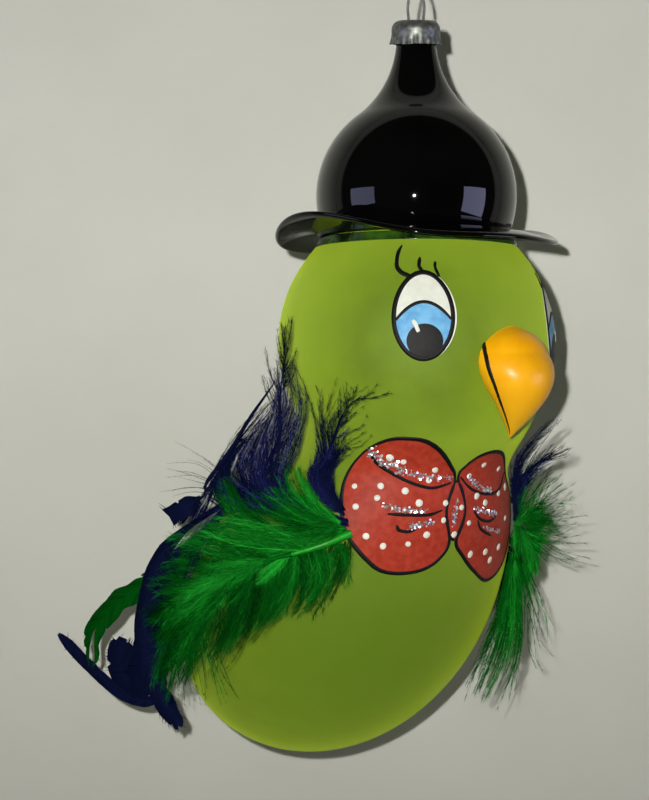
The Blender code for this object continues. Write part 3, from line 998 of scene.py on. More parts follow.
@dataclass
class Cap:
    """Crimped cap: a domed top, two wire holes and a wavy fluted lip."""

    radius: float = 6.1
    height: float = 5.9
    sheet: float = 0.3
    shoulder: float = 2.3
    flare: float = 0.4
    lip: float = 2.6
    flutes: int = 22
    flute_depth: float = 0.2
    hole: float = 0.65
    hole_at: float = 1.85
    tilt: float = 11.0

    SEED = 11
    FLUTE_STEPS = 10
    DRILL_DEPTH = 2.0
    DRILL_SIDES = 32
    SHARP = math.radians(40.0)

    def side(self, inset: float) -> list[Pair]:
        """Profile from the top's middle to the lip's edge.

        Args:
            inset: thickness of the sheet, zero for its outer face.

        Returns:
            Radius and height of each point.
        """
        lip_top = self.lip - self.height
        round_to = self.radius - self.shoulder
        dome = Hat.arc((round_to, -self.shoulder), self.shoulder - inset, math.pi / 2, 0.0, 10)
        points = [(round_to * step / 5, -inset) for step in range(5)] + dome
        rows = 8
        for row in range(rows + 1):
            share = row / rows
            points.append((self.radius - inset + self.flare * share ** 1.6, lip_top - self.lip * share))
        return points

    def build(self) -> Piece:
        """Sheet metal with its flutes, and the holes cut through its top.

        Returns:
            The new piece.
        """
        draw = random.Random(self.SEED)
        depths = [draw.uniform(0.65, 1.25) for _ in range(self.flutes)]
        drops = [draw.uniform(-0.12, 0.12) for _ in range(self.flutes)]
        holes = Vector((math.cos(VIEW_TURN), math.sin(VIEW_TURN), 0.0))
        nod = Matrix.Rotation(math.radians(self.tilt), 3, holes)

        def crimp(point: Vector) -> Vector:
            """Push the lip in and out in uneven flutes and place the cap.

            Args:
                point: point of a plain cap.

            Returns:
                Its place on the crimped one.
            """
            lip_top = self.lip - self.height
            deep = max(0.0, (lip_top - point.z) / self.lip)
            turn = math.atan2(point.y, point.x) / math.tau * self.flutes
            first = math.floor(turn) % self.flutes
            part = turn - math.floor(turn)
            depth = depths[first] * (1.0 - part) + depths[(first + 1) % self.flutes] * part
            drop = drops[first] * (1.0 - part) + drops[(first + 1) % self.flutes] * part
            push = self.flute_depth * depth * deep * math.cos(turn * math.tau)
            flat = max(math.hypot(point.x, point.y), 0.1)
            out = 1.0 + push / flat
            bent = Vector((point.x * out, point.y * out, point.z + drop * deep ** 2))
            return nod @ bent + Vector((0.0, 0.0, CAP_TOP))

        profile = self.side(0.0) + self.side(self.sheet)[::-1]
        cap = lathe("crimped_cap", profile, self.flutes * self.FLUTE_STEPS, crimp)
        for sign in (-1.0, 1.0):
            spot = (holes * self.hole_at * sign + Vector((0.0, 0.0, CAP_TOP))) * MM
            bpy.ops.mesh.primitive_cylinder_add(vertices=self.DRILL_SIDES, radius=self.hole * MM,
                                                depth=self.DRILL_DEPTH * MM, location=spot)
            drill = bpy.context.active_object
            apply(cap, "BOOLEAN", operation="DIFFERENCE", object=drill, solver="EXACT")
            bpy.data.objects.remove(drill, do_unlink=True)
        activate(cap)
        bpy.ops.object.shade_smooth_by_angle(angle=self.SHARP)
        return cap

    def dress(self) -> None:
        """Build and finish the cap."""
        dress(self.build(), "aluminium", Finishes.ALUMINIUM, ["cap"], Body.CAP)


@dataclass
class Hanger:
    """Spring wire: a loop over the cap and two legs that spread inside the neck."""

    wire: float = 0.35
    half_width: float = 1.85
    leg: float = 13.5
    splay: float = 3.15
    hinge: float = CAP_TOP - 0.175
    leg_bend: Pair = (2.5, 7.6)
    straight: float = 1.6
    bulge: float = 0.2
    bulge_at: float = 0.6
    shoulder: Pair = (1.72, -2.6)
    narrow: float = 0.72
    arch_from: float = 0.3

    def build(self) -> Piece:
        """One bent wire.

        Returns:
            The new piece.
        """
        across = Vector((math.cos(VIEW_TURN), math.sin(VIEW_TURN), 0.0))
        arch = self.wire - self.half_width
        half = [(self.splay, CAP_TOP - self.leg), (self.leg_bend[0], CAP_TOP - self.leg_bend[1]),
                (self.half_width, self.hinge - self.straight), (self.half_width, self.hinge),
                (self.half_width + self.bulge, self.hinge * self.bulge_at), self.shoulder]
        top = Hat.arc((0.0, arch), self.half_width, self.arch_from, math.pi - self.arch_from, 12)
        bow = [(x * self.narrow, z) for x, z in top]
        outline = half + bow + [(-x, z) for x, z in half[::-1]]
        points = smooth([across * x + Vector((0.0, 0.0, z)) for x, z in outline], 160)
        return tube("hanger_loop", points, [self.wire] * len(points), 4)

    def dress(self) -> None:
        """Build and finish the wire."""
        dress(self.build(), "steel", Finishes.STEEL, ["hanger_wire"], Body.HANGER)


@dataclass(frozen=True)
class Ground:
    """Where paint lies: a form, the height that rises count from, and which hand it is.

    Attributes:
        form: form that carries the paint.
        height: height of the paint's level line.
        hand: 1 as listed, -1 mirrored to the other side.
    """

    form: Form
    height: float
    hand: float = 1.0

    def degree(self) -> float:
        """Width of a degree of turn on the level line."""
        return math.radians(1.0) * self.form.section(self.height)[0]

    def place(self, spot: Vector, lift: float) -> Vector:
        """Point over a flat spot, whose x is turn times degree and whose y is rise."""
        return self.form.place(self.hand * spot.x / self.degree(), self.height + spot.y, lift)

    def flat(self, path: Path) -> list[Vector]:
        """Flat spots of a path of (turn, rise)."""
        return [Vector((turn * self.degree(), rise, 0.0)) for turn, rise in path]


def dome_faces(rings: int, around: int) -> Rows:
    """Faces of a closed dome whose first point is its top.

    Args:
        rings: number of rings of points below the top.
        around: points in a ring.

    Returns:
        Corners of each face.
    """
    faces = []
    for step in range(around):
        right = (step + 1) % around
        faces.append((0, 1 + step, 1 + right))
        for ring in range(rings - 1):
            low = 1 + ring * around
            high = low + around
            faces.append((low + step, high + step, high + right))
            faces.append((low + step, high + right, low + right))
    base = 1 + (rings - 1) * around
    for step in range(1, around - 1):
        faces.append((base, base + step + 1, base + step))
    return np.array(faces)


class Brush:
    """Paint on a ground: patches, strokes, dots and glitter, each with its own thickness."""

    EDGE = 0.012
    MARGIN = 0.25
    SHARP = math.radians(50.0)
    EASE = 6.0
    DOT_SIDES = 14

    def __init__(self, ground: Ground) -> None:
        """Take the ground to paint on."""
        self.ground = ground

    def patch(self, name: str, outline: Line, lift: float, pitch: float = 0.9) -> Piece:
        """Flat patch of paint with a smooth outline.

        Args:
            name: name of the piece.
            outline: flat spots round it.
            lift: height of its top over the ground.
            pitch: distance between points inside it.

        Returns:
            The new piece, closed all round.
        """
        spots = [Vector((spot.x, spot.y)) for spot in outline]
        edge = len(spots)
        low = Vector((min(spot.x for spot in spots), min(spot.y for spot in spots)))
        high = Vector((max(spot.x for spot in spots), max(spot.y for spot in spots)))
        row = 0
        y = low.y + pitch / 2
        while y < high.y:
            x = low.x + pitch * (0.25 + 0.5 * (row % 2))
            while x < high.x:
                spot = Vector((x, y))
                if self.inside(spot, spots[:edge]):
                    spots.append(spot)
                x += pitch
            y += pitch
            row += 1
        loop = [list(range(edge))]
        flat, _, faces, _, _, _ = delaunay_2d_cdt(spots, [], loop, 1, 1e-4)
        mesh = bpy.data.meshes.new(name)
        corners = [self.ground.place(Vector((spot.x, spot.y, 0.0)), lift) * MM for spot in flat]
        mesh.from_pydata(corners, [], faces)
        piece = new_piece(name, mesh)
        self.face_out(piece)
        apply(piece, "SOLIDIFY", thickness=(lift - self.EDGE) * MM, offset=-1.0)
        activate(piece)
        bpy.ops.object.shade_smooth_by_angle(angle=self.SHARP)
        return piece

    def inside(self, spot: Vector, outline: Line) -> bool:
        """Whether a spot lies inside an outline, and clear of its points.

        Args:
            spot: spot to test.
            outline: spots round an area.

        Returns:
            Whether it lies there.
        """
        odd = False
        for start, end in zip(outline, list(outline[1:]) + [outline[0]]):
            if (spot - start).length < self.MARGIN:
                return False
            if (start.y > spot.y) != (end.y > spot.y):
                if spot.x < start.x + (end.x - start.x) * (spot.y - start.y) / (end.y - start.y):
                    odd = not odd
        return odd

    def face_out(self, piece: Piece) -> None:
        """Turn a patch's faces away from the form's axis.

        Args:
            piece: patch of paint.
        """
        face = piece.data.polygons[0]
        height = face.center.z / MM
        axis = Vector((0.0, self.ground.form.section(height)[1] * MM, face.center.z))
        if face.normal.dot(face.center - axis) < 0.0:
            piece.data.flip_normals()

    def stroke(self, soup: Soup, path: Line, width: float, lift: float, closed: bool = False,
               taper: Pair = (0.75, 0.75)) -> None:
        """Rounded line of paint.

        Args:
            soup: where it goes.
            path: flat spots along it.
            width: full width.
            lift: height of its crest.
            closed: whether it runs back to its start.
            taper: share of the width left at either end.
        """
        count = len(path)
        marks = ((-1.0, self.EDGE), (-0.62, lift * 0.8), (0.0, lift), (0.62, lift * 0.8), (1.0, self.EDGE))
        ribs = []
        for index, spot in enumerate(path):
            before = path[index - 1] if index or closed else spot
            after = path[(index + 1) % count] if index < count - 1 or closed else spot
            along = (after - before).normalized()
            across = Vector((-along.y, along.x, 0.0))
            share = index / max(count - 1, 1)
            end = 1.0
            if not closed:
                ease = min(1.0, self.EASE * share, self.EASE * (1.0 - share))
                near = taper[0] if share < 0.5 else taper[1]
                end = near + (1.0 - near) * ease
            half = width * end / 2
            for part, height in marks:
                ribs.append(tuple(self.ground.place(spot + across * half * part, height)))
        soup.grow(np.array(ribs), Soup.walls(count, len(marks), closed), 0.5)

    def dot(self, soup: Soup, middle: Vector, size: Pair, lift: float, tilt: float) -> None:
        """Domed dot of paint, round or drawn out.

        Args:
            soup: where it goes.
            middle: flat spot of its middle.
            size: its two widths.
            lift: height of its crest.
            tilt: its turn in radians.
        """
        around = self.DOT_SIDES
        points = [tuple(self.ground.place(middle, lift))]
        here = self.ground.place(middle, 0.0)
        right = (self.ground.place(middle + Vector((0.1, 0.0, 0.0)), 0.0) - here) / 0.1
        above = (self.ground.place(middle + Vector((0.0, 0.1, 0.0)), 0.0) - here) / 0.1
        wide = right.length
        slant = above.dot(right) / wide
        high = math.sqrt(max(above.length_squared - slant ** 2, 0.01))
        for share, height in ((0.6, lift * 0.9), (0.9, lift * 0.6), (1.0, self.EDGE)):
            for step in range(around):
                angle = math.tau * step / around
                x = math.cos(angle) * size[0] * share / 2
                y = math.sin(angle) * size[1] * share / 2
                rise = (x * math.sin(tilt) + y * math.cos(tilt)) / high
                aside = (x * math.cos(tilt) - y * math.sin(tilt) - slant * rise) / wide
                turned = Vector((aside, rise, 0.0))
                points.append(tuple(self.ground.place(middle + turned, height)))
        soup.grow(np.array(points), dome_faces(3, around), 0.5)

    def glitter(self, soup: Soup, path: Line, flakes: int, spread: float, lift: float,
                draw: random.Random) -> None:
        """Hexagonal flakes scattered along a path, each tilted its own way.

        Args:
            soup: where it goes.
            path: flat spots along it.
            flakes: number of flakes.
            spread: how far they stray.
            lift: least height over the ground.
            draw: source of random numbers.
        """
        for _ in range(flakes):
            spot = path[draw.randrange(len(path))]
            spot = spot + Vector((draw.gauss(0.0, spread), draw.gauss(0.0, spread), 0.0))
            middle = self.ground.place(spot, lift + draw.uniform(0.05, 0.3))
            inner = self.ground.place(spot, 0.0)
            out = (middle - inner).normalized()
            lean = Vector((draw.gauss(0, 0.35), draw.gauss(0, 0.35), draw.gauss(0, 0.35)))
            out = (out + lean).normalized()
            side = out.orthogonal().normalized()
            other = out.cross(side)
            radius = draw.uniform(0.16, 0.34)
            rim = []
            for level in (0.03, -0.03):
                for corner in range(6):
                    angle = math.tau * corner / 6
                    way = side * math.cos(angle) + other * math.sin(angle)
                    rim.append(tuple(middle + out * level + way * radius))
            faces = [(0, corner, corner + 1) for corner in range(1, 5)]
            faces += [(6, 6 + corner + 1, 6 + corner) for corner in range(1, 5)]
            for corner in range(6):
                right = (corner + 1) % 6
                faces.append((corner, 6 + corner, 6 + right))
                faces.append((corner, 6 + right, right))
            soup.grow(np.array(rim), np.array(faces), draw.random())


def outward_faces(piece: Piece) -> Piece:
    """Turn every closed shell of a piece outwards in edit mode.

    Args:
        piece: piece of closed shells.

    Returns:
        The piece.
    """
    activate(piece)
    bpy.ops.object.mode_set(mode="EDIT")
    bpy.ops.mesh.select_all(action="SELECT")
    bpy.ops.mesh.normals_make_consistent(inside=False)
    bpy.ops.object.mode_set(mode="OBJECT")
    bpy.ops.object.shade_smooth_by_angle(angle=math.radians(60.0))
    return piece


@dataclass
class Eye:
    """Painted eye: white, blue iris, pupil, outline, lid line and lashes."""

    side: Side
    middle: Pair = (38.05, 5.05)
    half: Pair = (11.45, 10.0)
    pupil: Pair = (37.6, -0.9)
    pupil_half: Pair = (7.0, 4.0)
    lid_top: Pair = (37.9, 8.1)
    lid_curve: float = 0.036
    line: float = 1.2
    lid_line: float = 0.95
    shine_line: float = 1.25
    left_drop: float = 1.2
    rim_growth: Pair = (1.1, 1.03)
    rim_shift: float = -0.4
    white_lift: float = 0.07
    iris_lift: float = 0.12
    pupil_lift: float = 0.17
    outline_lift: float = 0.26
    lid_lift: float = 0.24
    lash_lift: float = 0.22
    shine_lift: float = 0.3

    LASH_LINES = (1.1, 0.95, 0.8)
    SHINE = ((42.2, 3.9), (41.2, 2.9), (40.0, 1.2))
    LASHES = (
        ((43.4, 13.6), (43.9, 14.2), (47, 15), (49.1, 16.2), (49.7, 17.7), (49.4, 20), (48, 21.8)),
        ((38.2, 15), (38.6, 15.6), (39.7, 16.8), (39.1, 18.8)),
        ((31.4, 14), (31.6, 14.7), (32.6, 16.4), (32.2, 17.8)),
    )

    def lid(self, turn: float) -> float:
        """Rise of the upper edge of the iris."""
        return self.lid_top[1] - self.lid_curve * (turn - self.lid_top[0]) ** 2

    def ring(self, middle: Pair, half: Pair, steps: int) -> list[Pair]:
        """Ellipse of (turn, rise)."""
        angles = [math.tau * step / steps for step in range(steps)]
        return [(middle[0] + half[0] * math.cos(a), middle[1] + half[1] * math.sin(a)) for a in angles]

    def dress(self) -> None:
        """Paint the eye."""
        word = self.side.word
        drop = 0.0 if self.side is Side.RIGHT else self.left_drop
        ground = Ground(BIRD, HEAD_Z - drop, self.side.value)
        brush = Brush(ground)
        edge = self.ring(self.middle, self.half, 96)
        rim_half = (self.half[0] * self.rim_growth[0], self.half[1] * self.rim_growth[1])
        rim = self.ring((self.middle[0] + self.rim_shift, self.middle[1]), rim_half, 96)
        white = brush.patch(word + "_eye_white", ground.flat(rim), self.white_lift)
        dress(white, "green_glass", Finishes.WHITE_PAINT)
        below = [(turn, min(rise, self.lid(turn))) for turn, rise in edge]
        iris = brush.patch(word + "_eye_iris", ground.flat(below), self.iris_lift)
        dress(iris, "green_glass", Finishes.BLUE_PAINT)
        inner = self.ring(self.pupil, self.pupil_half, 48)
        pupil = brush.patch(word + "_eye_pupil", ground.flat(inner), self.pupil_lift, pitch=0.7)
        dress(pupil, "green_glass", Finishes.BLACK_PAINT)
        lines = Soup()
        brush.stroke(lines, ground.flat(edge), self.line, self.outline_lift, closed=True)
        turns = [self.middle[0] + self.half[0] * 0.93 * (step / 20 - 1.0) for step in range(41)]
        lid = [(turn, self.lid(turn)) for turn in turns]
        brush.stroke(lines, ground.flat(lid), self.lid_line, self.lid_lift)
        for lash, width in zip(self.LASHES, self.LASH_LINES):
            path = smooth(ground.flat(lash), 36)
            brush.stroke(lines, path, width, self.lash_lift, taper=(1.0, 0.45))
        ink = outward_faces(lines.piece(word + "_eye_lines"))
        dress(ink, "green_glass", Finishes.BLACK_PAINT)
        spark = Soup()
        shine = smooth(ground.flat(self.SHINE), 16)
        brush.stroke(spark, shine, self.shine_line, self.shine_lift, taper=(0.6, 0.8))
        dress(outward_faces(spark.piece(word + "_eye_light")), "green_glass", Finishes.WHITE_PAINT)


@dataclass
class BowTie:
    """Painted bow tie with white spots, black outlines and silver glitter.

    Its paths list (turn, rise over the body's centre), and sparkles add flakes and their spread.
    """

    line: float = 1.0
    knot_line: float = 0.65
    lift: float = 0.1
    fold: float = 0.9
    crease: float = 0.95
    crest: float = 0.25
    edge_crest: float = 0.26
    spot_crest: float = 0.3
    glitter_lift: float = 0.2
    knot_rise: float = 0.05
    pitch: float = 1.2
    level: float = 25.0

    SEED = 23
    RIGHT = ((7.3, 33.2), (12.1, 36.4), (21.8, 39.9), (31.8, 42.3), (40.5, 43), (49.5, 42.8), (56.9, 40.7),
             (58.4, 37.4), (56.6, 33.1), (53.9, 29.1), (50.3, 24.9), (46.8, 21.3), (42.5, 18.3),
             (35.7, 14.4), (29.7, 11.7), (22.8, 10.8), (14.8, 11.4), (9, 13.7), (5.9, 18), (9.6, 26))
    LEFT = ((5.7, 33.7), (3.4, 36.3), (-1.4, 38.5), (-10.4, 39.6), (-21.5, 38.5), (-33, 34), (-38, 27),
            (-38, 18), (-32.5, 10.6), (-20.2, 7.1), (-9.7, 10.1), (-2, 14.2), (2.8, 18.3), (0.6, 26))
    KNOT = ((6.4, 32.6), (8.9, 30), (9.8, 26), (7.9, 21.6), (3.9, 18.4), (1, 21.6), (0.5, 26), (3, 30.9))
    FOLDS = (
        ((55.6, 39.9), (47.5, 37.2), (39, 35.1), (27.5, 32.5), (17.7, 31.2), (9.2, 32.3)),
        ((4.6, 33.7), (-2.4, 30.6), (-11.4, 29.2), (-22, 29.9), (-31.5, 34.2)),
    )
    CREASES = (
        ((33.3, 25.2), (26.2, 24.9), (16.9, 24.8), (11.6, 25.8)),
        ((28.5, 22.5), (27.1, 21.3), (23.9, 20.9), (20.9, 21.2)),
        ((-4.2, 25.2), (-8.6, 23.1), (-14.9, 22.4), (-19.3, 23.5)),
        ((-6.9, 22.9), (-9.7, 20.5), (-16.6, 18.7)),
    )
    SPARKLES = (
        (((56.5, 40.6), (46.4, 37.8), (34.6, 35.6)), 120, 0.5),
        (((34.6, 35.6), (25.9, 34.2), (18.5, 33.5)), 60, 0.4),
        (((18.5, 33.5), (13.5, 33.4), (8.6, 33.8)), 18, 0.35),
        (((0.7, 33.6), (-5.8, 31.3), (-13.6, 29.9)), 80, 0.4),
        (((35.1, 26.9), (29.3, 26.2), (24.2, 25.9)), 70, 0.4),
        (((24.2, 25.9), (21.4, 25.7), (18.7, 25.8)), 22, 0.3),
        (((24.3, 21.8), (20.1, 22.4), (14.3, 23)), 64, 0.38),
        (((-3.9, 26), (-10.4, 25), (-18.6, 24.2)), 64, 0.38),
        (((-10.7, 20.9), (-15.4, 20.3), (-23.1, 19.4)), 34, 0.35),
        (((5.3, 28.6), (5.7, 25.5), (5.4, 22.4)), 50, 0.32),
    )
    SPOTS = ((43.7, 38.5), (36, 37.5), (18.9, 35.5), (20, 33.1), (50.9, 31.7), (40, 31.8), (39.5, 29),
             (29.1, 30.6), (22, 27.7), (10.4, 27.5), (10.2, 23.4), (16, 20), (38.4, 19.9), (31.2, 17.5),
             (22.3, 17.9), (46.5, 26.9), (-7.9, 36.4), (-22.2, 35.2), (-0.5, 33.8), (-5.5, 28.9),
             (-11, 27.1), (-21.7, 29.2), (-2.2, 22.4), (-5.5, 14.5), (-14.3, 14.7), (-18.6, 12.4),
             (-24.3, 15.4), (-28.6, 22.6), (-30.4, 30.5), (2.6, 26.3), (4.4, 19.8))

    def dress(self) -> None:
        """Paint the bow tie."""
        ground = Ground(BIRD, BODY_Z + self.level)
        brush = Brush(ground)

        def flat(path: Path) -> list[Vector]:
            """Flat spots of a path whose rises count from the body's centre."""
            return ground.flat([(turn, rise - self.level) for turn, rise in path])

        lines = Soup()
        for name, outline in (("bow_right", self.RIGHT), ("bow_left", self.LEFT), ("bow_knot", self.KNOT)):
            edge = smooth(flat(outline), 150, closed=True)
            lift = self.lift + (self.knot_rise if name == "bow_knot" else 0.0)
            dress(brush.patch(name, edge, lift, self.pitch), "green_glass", Finishes.RED_PAINT)
            width = self.knot_line if name == "bow_knot" else self.line
            brush.stroke(lines, edge, width, self.edge_crest, closed=True)
        for fold in self.FOLDS:
            brush.stroke(lines, smooth(flat(fold), 60), self.fold, self.crest, taper=(0.5, 0.7))
        for crease in self.CREASES:
            brush.stroke(lines, smooth(flat(crease), 40), self.crease, self.crest, taper=(0.5, 0.5))
        dress(outward_faces(lines.piece("bow_lines")), "green_glass", Finishes.BLACK_PAINT)
        draw = random.Random(self.SEED)
        spots = Soup()
        for spot in flat(self.SPOTS):
            size = draw.uniform(1.45, 1.95)
            widths = (size, size * draw.uniform(0.9, 1.15))
            brush.dot(spots, spot, widths, self.spot_crest, draw.uniform(0.0, 3.0))
        dress(outward_faces(spots.piece("bow_spots")), "green_glass", Finishes.WHITE_PAINT)
        flakes = Soup()
        for path, count, spread in self.SPARKLES:
            brush.glitter(flakes, smooth(flat(path), 60), count, spread, self.glitter_lift, draw)
        dress(flakes.piece("bow_glitter"), "green_glass", Finishes.GLITTER)


@dataclass
class Beak:
    """Hooked beak with a painted mouth line along each flank."""

    stations: int = 72
    steps: int = 96
    line: float = 1.15
    crest: float = 0.24
    clear: float = 0.1
    level: float = 10.0

    MOUTH = ((103, -1.7), (98, -0.8), (89, -1.6), (80, -3.8), (82, -7), (85, -10.5), (89, -15.5),
             (83, -19.6), (66, -22.3))

    def build(self) -> Piece:
        """Level circles carried along the hook, cut back where they would meet the glass.

        Returns:
            The new piece.
        """
        profile = []
        for station in range(self.stations + 1):
            share = 0.5 - 0.5 * math.cos(math.pi * station / self.stations)
            height = BEAK.TOP - BEAK.HEIGHT * share
            profile.append((BEAK.section(height)[0], height))
        profile[0] = (0.0, BEAK.TOP)
        profile[-1] = (0.0, BEAK.TOP - BEAK.HEIGHT)

        def hook(point: Vector) -> Vector:
            """Carry a point to its place, just clear of the glass.

            Args:
                point: point of a straight drop.

            Returns:
                Its place on the beak.
            """
            moved = Vector((point.x * BEAK.WIDER, point.y + BEAK.section(point.z)[1], point.z))
            radius = BIRD.section(moved.z)[0] + self.clear
            if abs(moved.x) < radius:
                moved.y = min(moved.y, -math.sqrt(radius ** 2 - moved.x ** 2))
            return moved

        return lathe("beak_shell", profile, self.steps, hook)

    def dress(self) -> None:
        """Build the beak and paint its mouth."""
        dress(self.build(), "yellow_enamel", Finishes.YELLOW_ENAMEL, ["beak"])
        soup = Soup()
        for side in Side:
            ground = Ground(BEAK, BEAK.TOP - self.level, side.value)
            spots = ground.flat([(turn, rise + HEAD_Z - ground.height) for turn, rise in self.MOUTH])
            Brush(ground).stroke(soup, smooth(spots, 70), self.line, self.crest, taper=(0.7, 0.6))
        dress(outward_faces(soup.piece("mouth_lines")), "yellow_enamel", Finishes.BLACK_PAINT)


class Down:
    """Strands with fine hairs, grown into one soup."""

    STEM = 0.075
    HAIR = 0.052
    CLEAR = 0.6

    def __init__(self, soup: Soup, seed: int) -> None:
        """Take the soup to grow into and a start for the random draws."""
        self.soup = soup
        self.draw = np.random.default_rng(seed)

    def strand(self, path: Rows, hair: float, pitch: float, shade: float) -> None:
        """Grow one strand and its hairs.

        Args:
            path: middle line from root to tip.
            hair: length of hairs near the root.
            pitch: distance between hairs.
            shade: shade of the strand.
        """
        path = BIRD.cleared(path, self.CLEAR)
        t = np.linspace(0.0, 1.0, len(path))
        self.soup.tube(path, self.STEM * (1.0 - 0.75 * t), shade, 3)
        length = np.linalg.norm(np.diff(path, axis=0), axis=1).sum()
        count = max(6, int(length / pitch))
        spots = np.sort(self.draw.random(count)) * 0.96 + 0.04
        self.hairs(path, spots, hair, shade)

    def hairs(self, path: Rows, spots: Rows, hair: float, shade: float) -> None:
        """Grow thin closed needles at spots along a strand.

        Args:
            path: middle line of the strand.
            spots: shares of its length.
            hair: length near the root.
            shade: shade of the strand.
        """
        draw = self.draw
        count = len(spots)
        grid = np.linspace(0.0, 1.0, len(path))

        def at(shares: Rows) -> Rows:
            """Points of the strand."""
            return np.stack([np.interp(np.clip(shares, 0.0, 1.0), grid, column) for column in path.T], 1)

        base = at(spots)
        along = unit(at(spots + 0.05) - at(spots - 0.05))
        out = np.array(tuple(BIRD.outward(Vector(path[len(path) // 2]))))
        across = unit(np.cross(along, out))
        up = np.cross(across, along)
        roll = draw.normal(0.0, 0.75, count) + np.where(draw.random(count) < 0.5, 0.0, math.pi)
        away = across * np.cos(roll)[:, None] + up * np.sin(roll)[:, None]
        lean = draw.uniform(0.15, 0.75, count)
        way = along * np.cos(lean)[:, None] + away * np.sin(lean)[:, None]
        size = hair * (1.0 - 0.5 * spots) * draw.uniform(0.4, 1.35, count)
        tip = BIRD.cleared(base + way * size[:, None], self.CLEAR * 0.7)
        side = unit(np.cross(way, along)) * self.HAIR
        back = along * self.HAIR
        corners = np.stack([base + back, base - back * 0.5 + side, base - back * 0.5 - side, tip], 1)
        first = np.arange(count)[:, None, None] * 4
        needle = np.array([[0, 1, 3], [1, 2, 3], [2, 0, 3], [0, 2, 1]])[None]
        tone = shade + draw.normal(0.0, 0.1, count)
        # Painted light: each hair is painted darker at its root and lighter at its tip
        shades = np.stack([tone - 0.12, tone - 0.12, tone - 0.12, tone + 0.16], 1)
        self.soup.grow(corners.reshape(-1, 3), (first + needle).reshape(-1, 3), shades.ravel())


def on_bird(route: Route, side: Side) -> list[Vector]:
    """Places of a route of (turn, rise over the body's centre, standoff) on one side."""
    return [BIRD.place(turn * side.value, BODY_Z + rise, standoff) for turn, rise, standoff in route]


def as_rows(points: Line) -> Rows:
    """Points as rows of an array."""
    return np.array([tuple(point) for point in points])


def gathered(path: Rows, lead: Rows, pull: float) -> Rows:
    """A path drawn towards its leader, more and more towards the tip."""
    weight = np.linspace(0.0, pull, len(path))[:, None]
    return path * (1.0 - weight) + lead * weight


@dataclass(frozen=True)
class Fan:
    """Loose strands between two border routes, gathered in bunches.

    Attributes:
        first: one border, from roots to tips.
        last: the other border, with as many stops.
        strands: number of strands.
        hair: length of their hairs.
        pitch: distance between hairs.
        stray: how far tips stray.
        shade: middle shade.
        least: shortest share of the border's length that a strand has.
        bunches: number of bunches.
        pull: how closely a bunch holds together at its tips.
    """

    first: Route
    last: Route
    strands: int
    hair: float
    pitch: float
    stray: float
    shade: float
    least: float = 0.6
    bunches: int = 5
    pull: float = 0.6

    def grow(self, down: Down, side: Side) -> None:
        """Grow the strands on one side of the bird.

        Args:
            down: what it grows into.
            side: side of the bird.
        """
        draw = down.draw
        start = as_rows(on_bird(self.first, side))
        end = as_rows(on_bird(self.last, side))
        lift = np.linspace(0.2, 1.0, len(start))[:, None]

        def path(share: float) -> Rows:
            """A strand at a share of the way from one border to the other.

            Args:
                share: share from the first border to the last.

            Returns:
                Points along it.
            """
            stray = draw.normal(0.0, 1.0, (len(start), 3)) * self.stray * lift
            stops = start + (end - start) * share + stray
            return as_rows(smooth([Vector(stop) for stop in stops], 22))

        middles = [(bunch + 0.5) / self.bunches for bunch in range(self.bunches)]
        leads = [path(middle) for middle in middles]
        tones = draw.normal(self.shade, 0.12, self.bunches)
        for number in range(self.strands):
            bunch = number % self.bunches
            share = middles[bunch] + draw.uniform(-0.6, 0.6) / self.bunches
            strand = gathered(path(share), leads[bunch], self.pull)
            keep = max(8, round(len(strand) * draw.uniform(self.least, 1.0)))
            down.strand(strand[:keep], self.hair, self.pitch, tones[bunch] + draw.normal(0.0, 0.1))


@dataclass(frozen=True)
class Edge:
    """Barbs on one edge of a soft feather, each value at its start, middle and end.

    Attributes:
        reach: length of the barbs.
        spread: angle in degrees at which they leave the shaft.
    """

    reach: tuple[float, float, float]
    spread: tuple[float, float, float]

    STOPS = (0.0, 0.5, 1.0)

    def at(self, share: float) -> Pair:
        """Length and angle in radians at a share of the plume."""
        reach = np.interp(share, self.STOPS, self.reach)
        return reach, math.radians(np.interp(share, self.STOPS, self.spread))


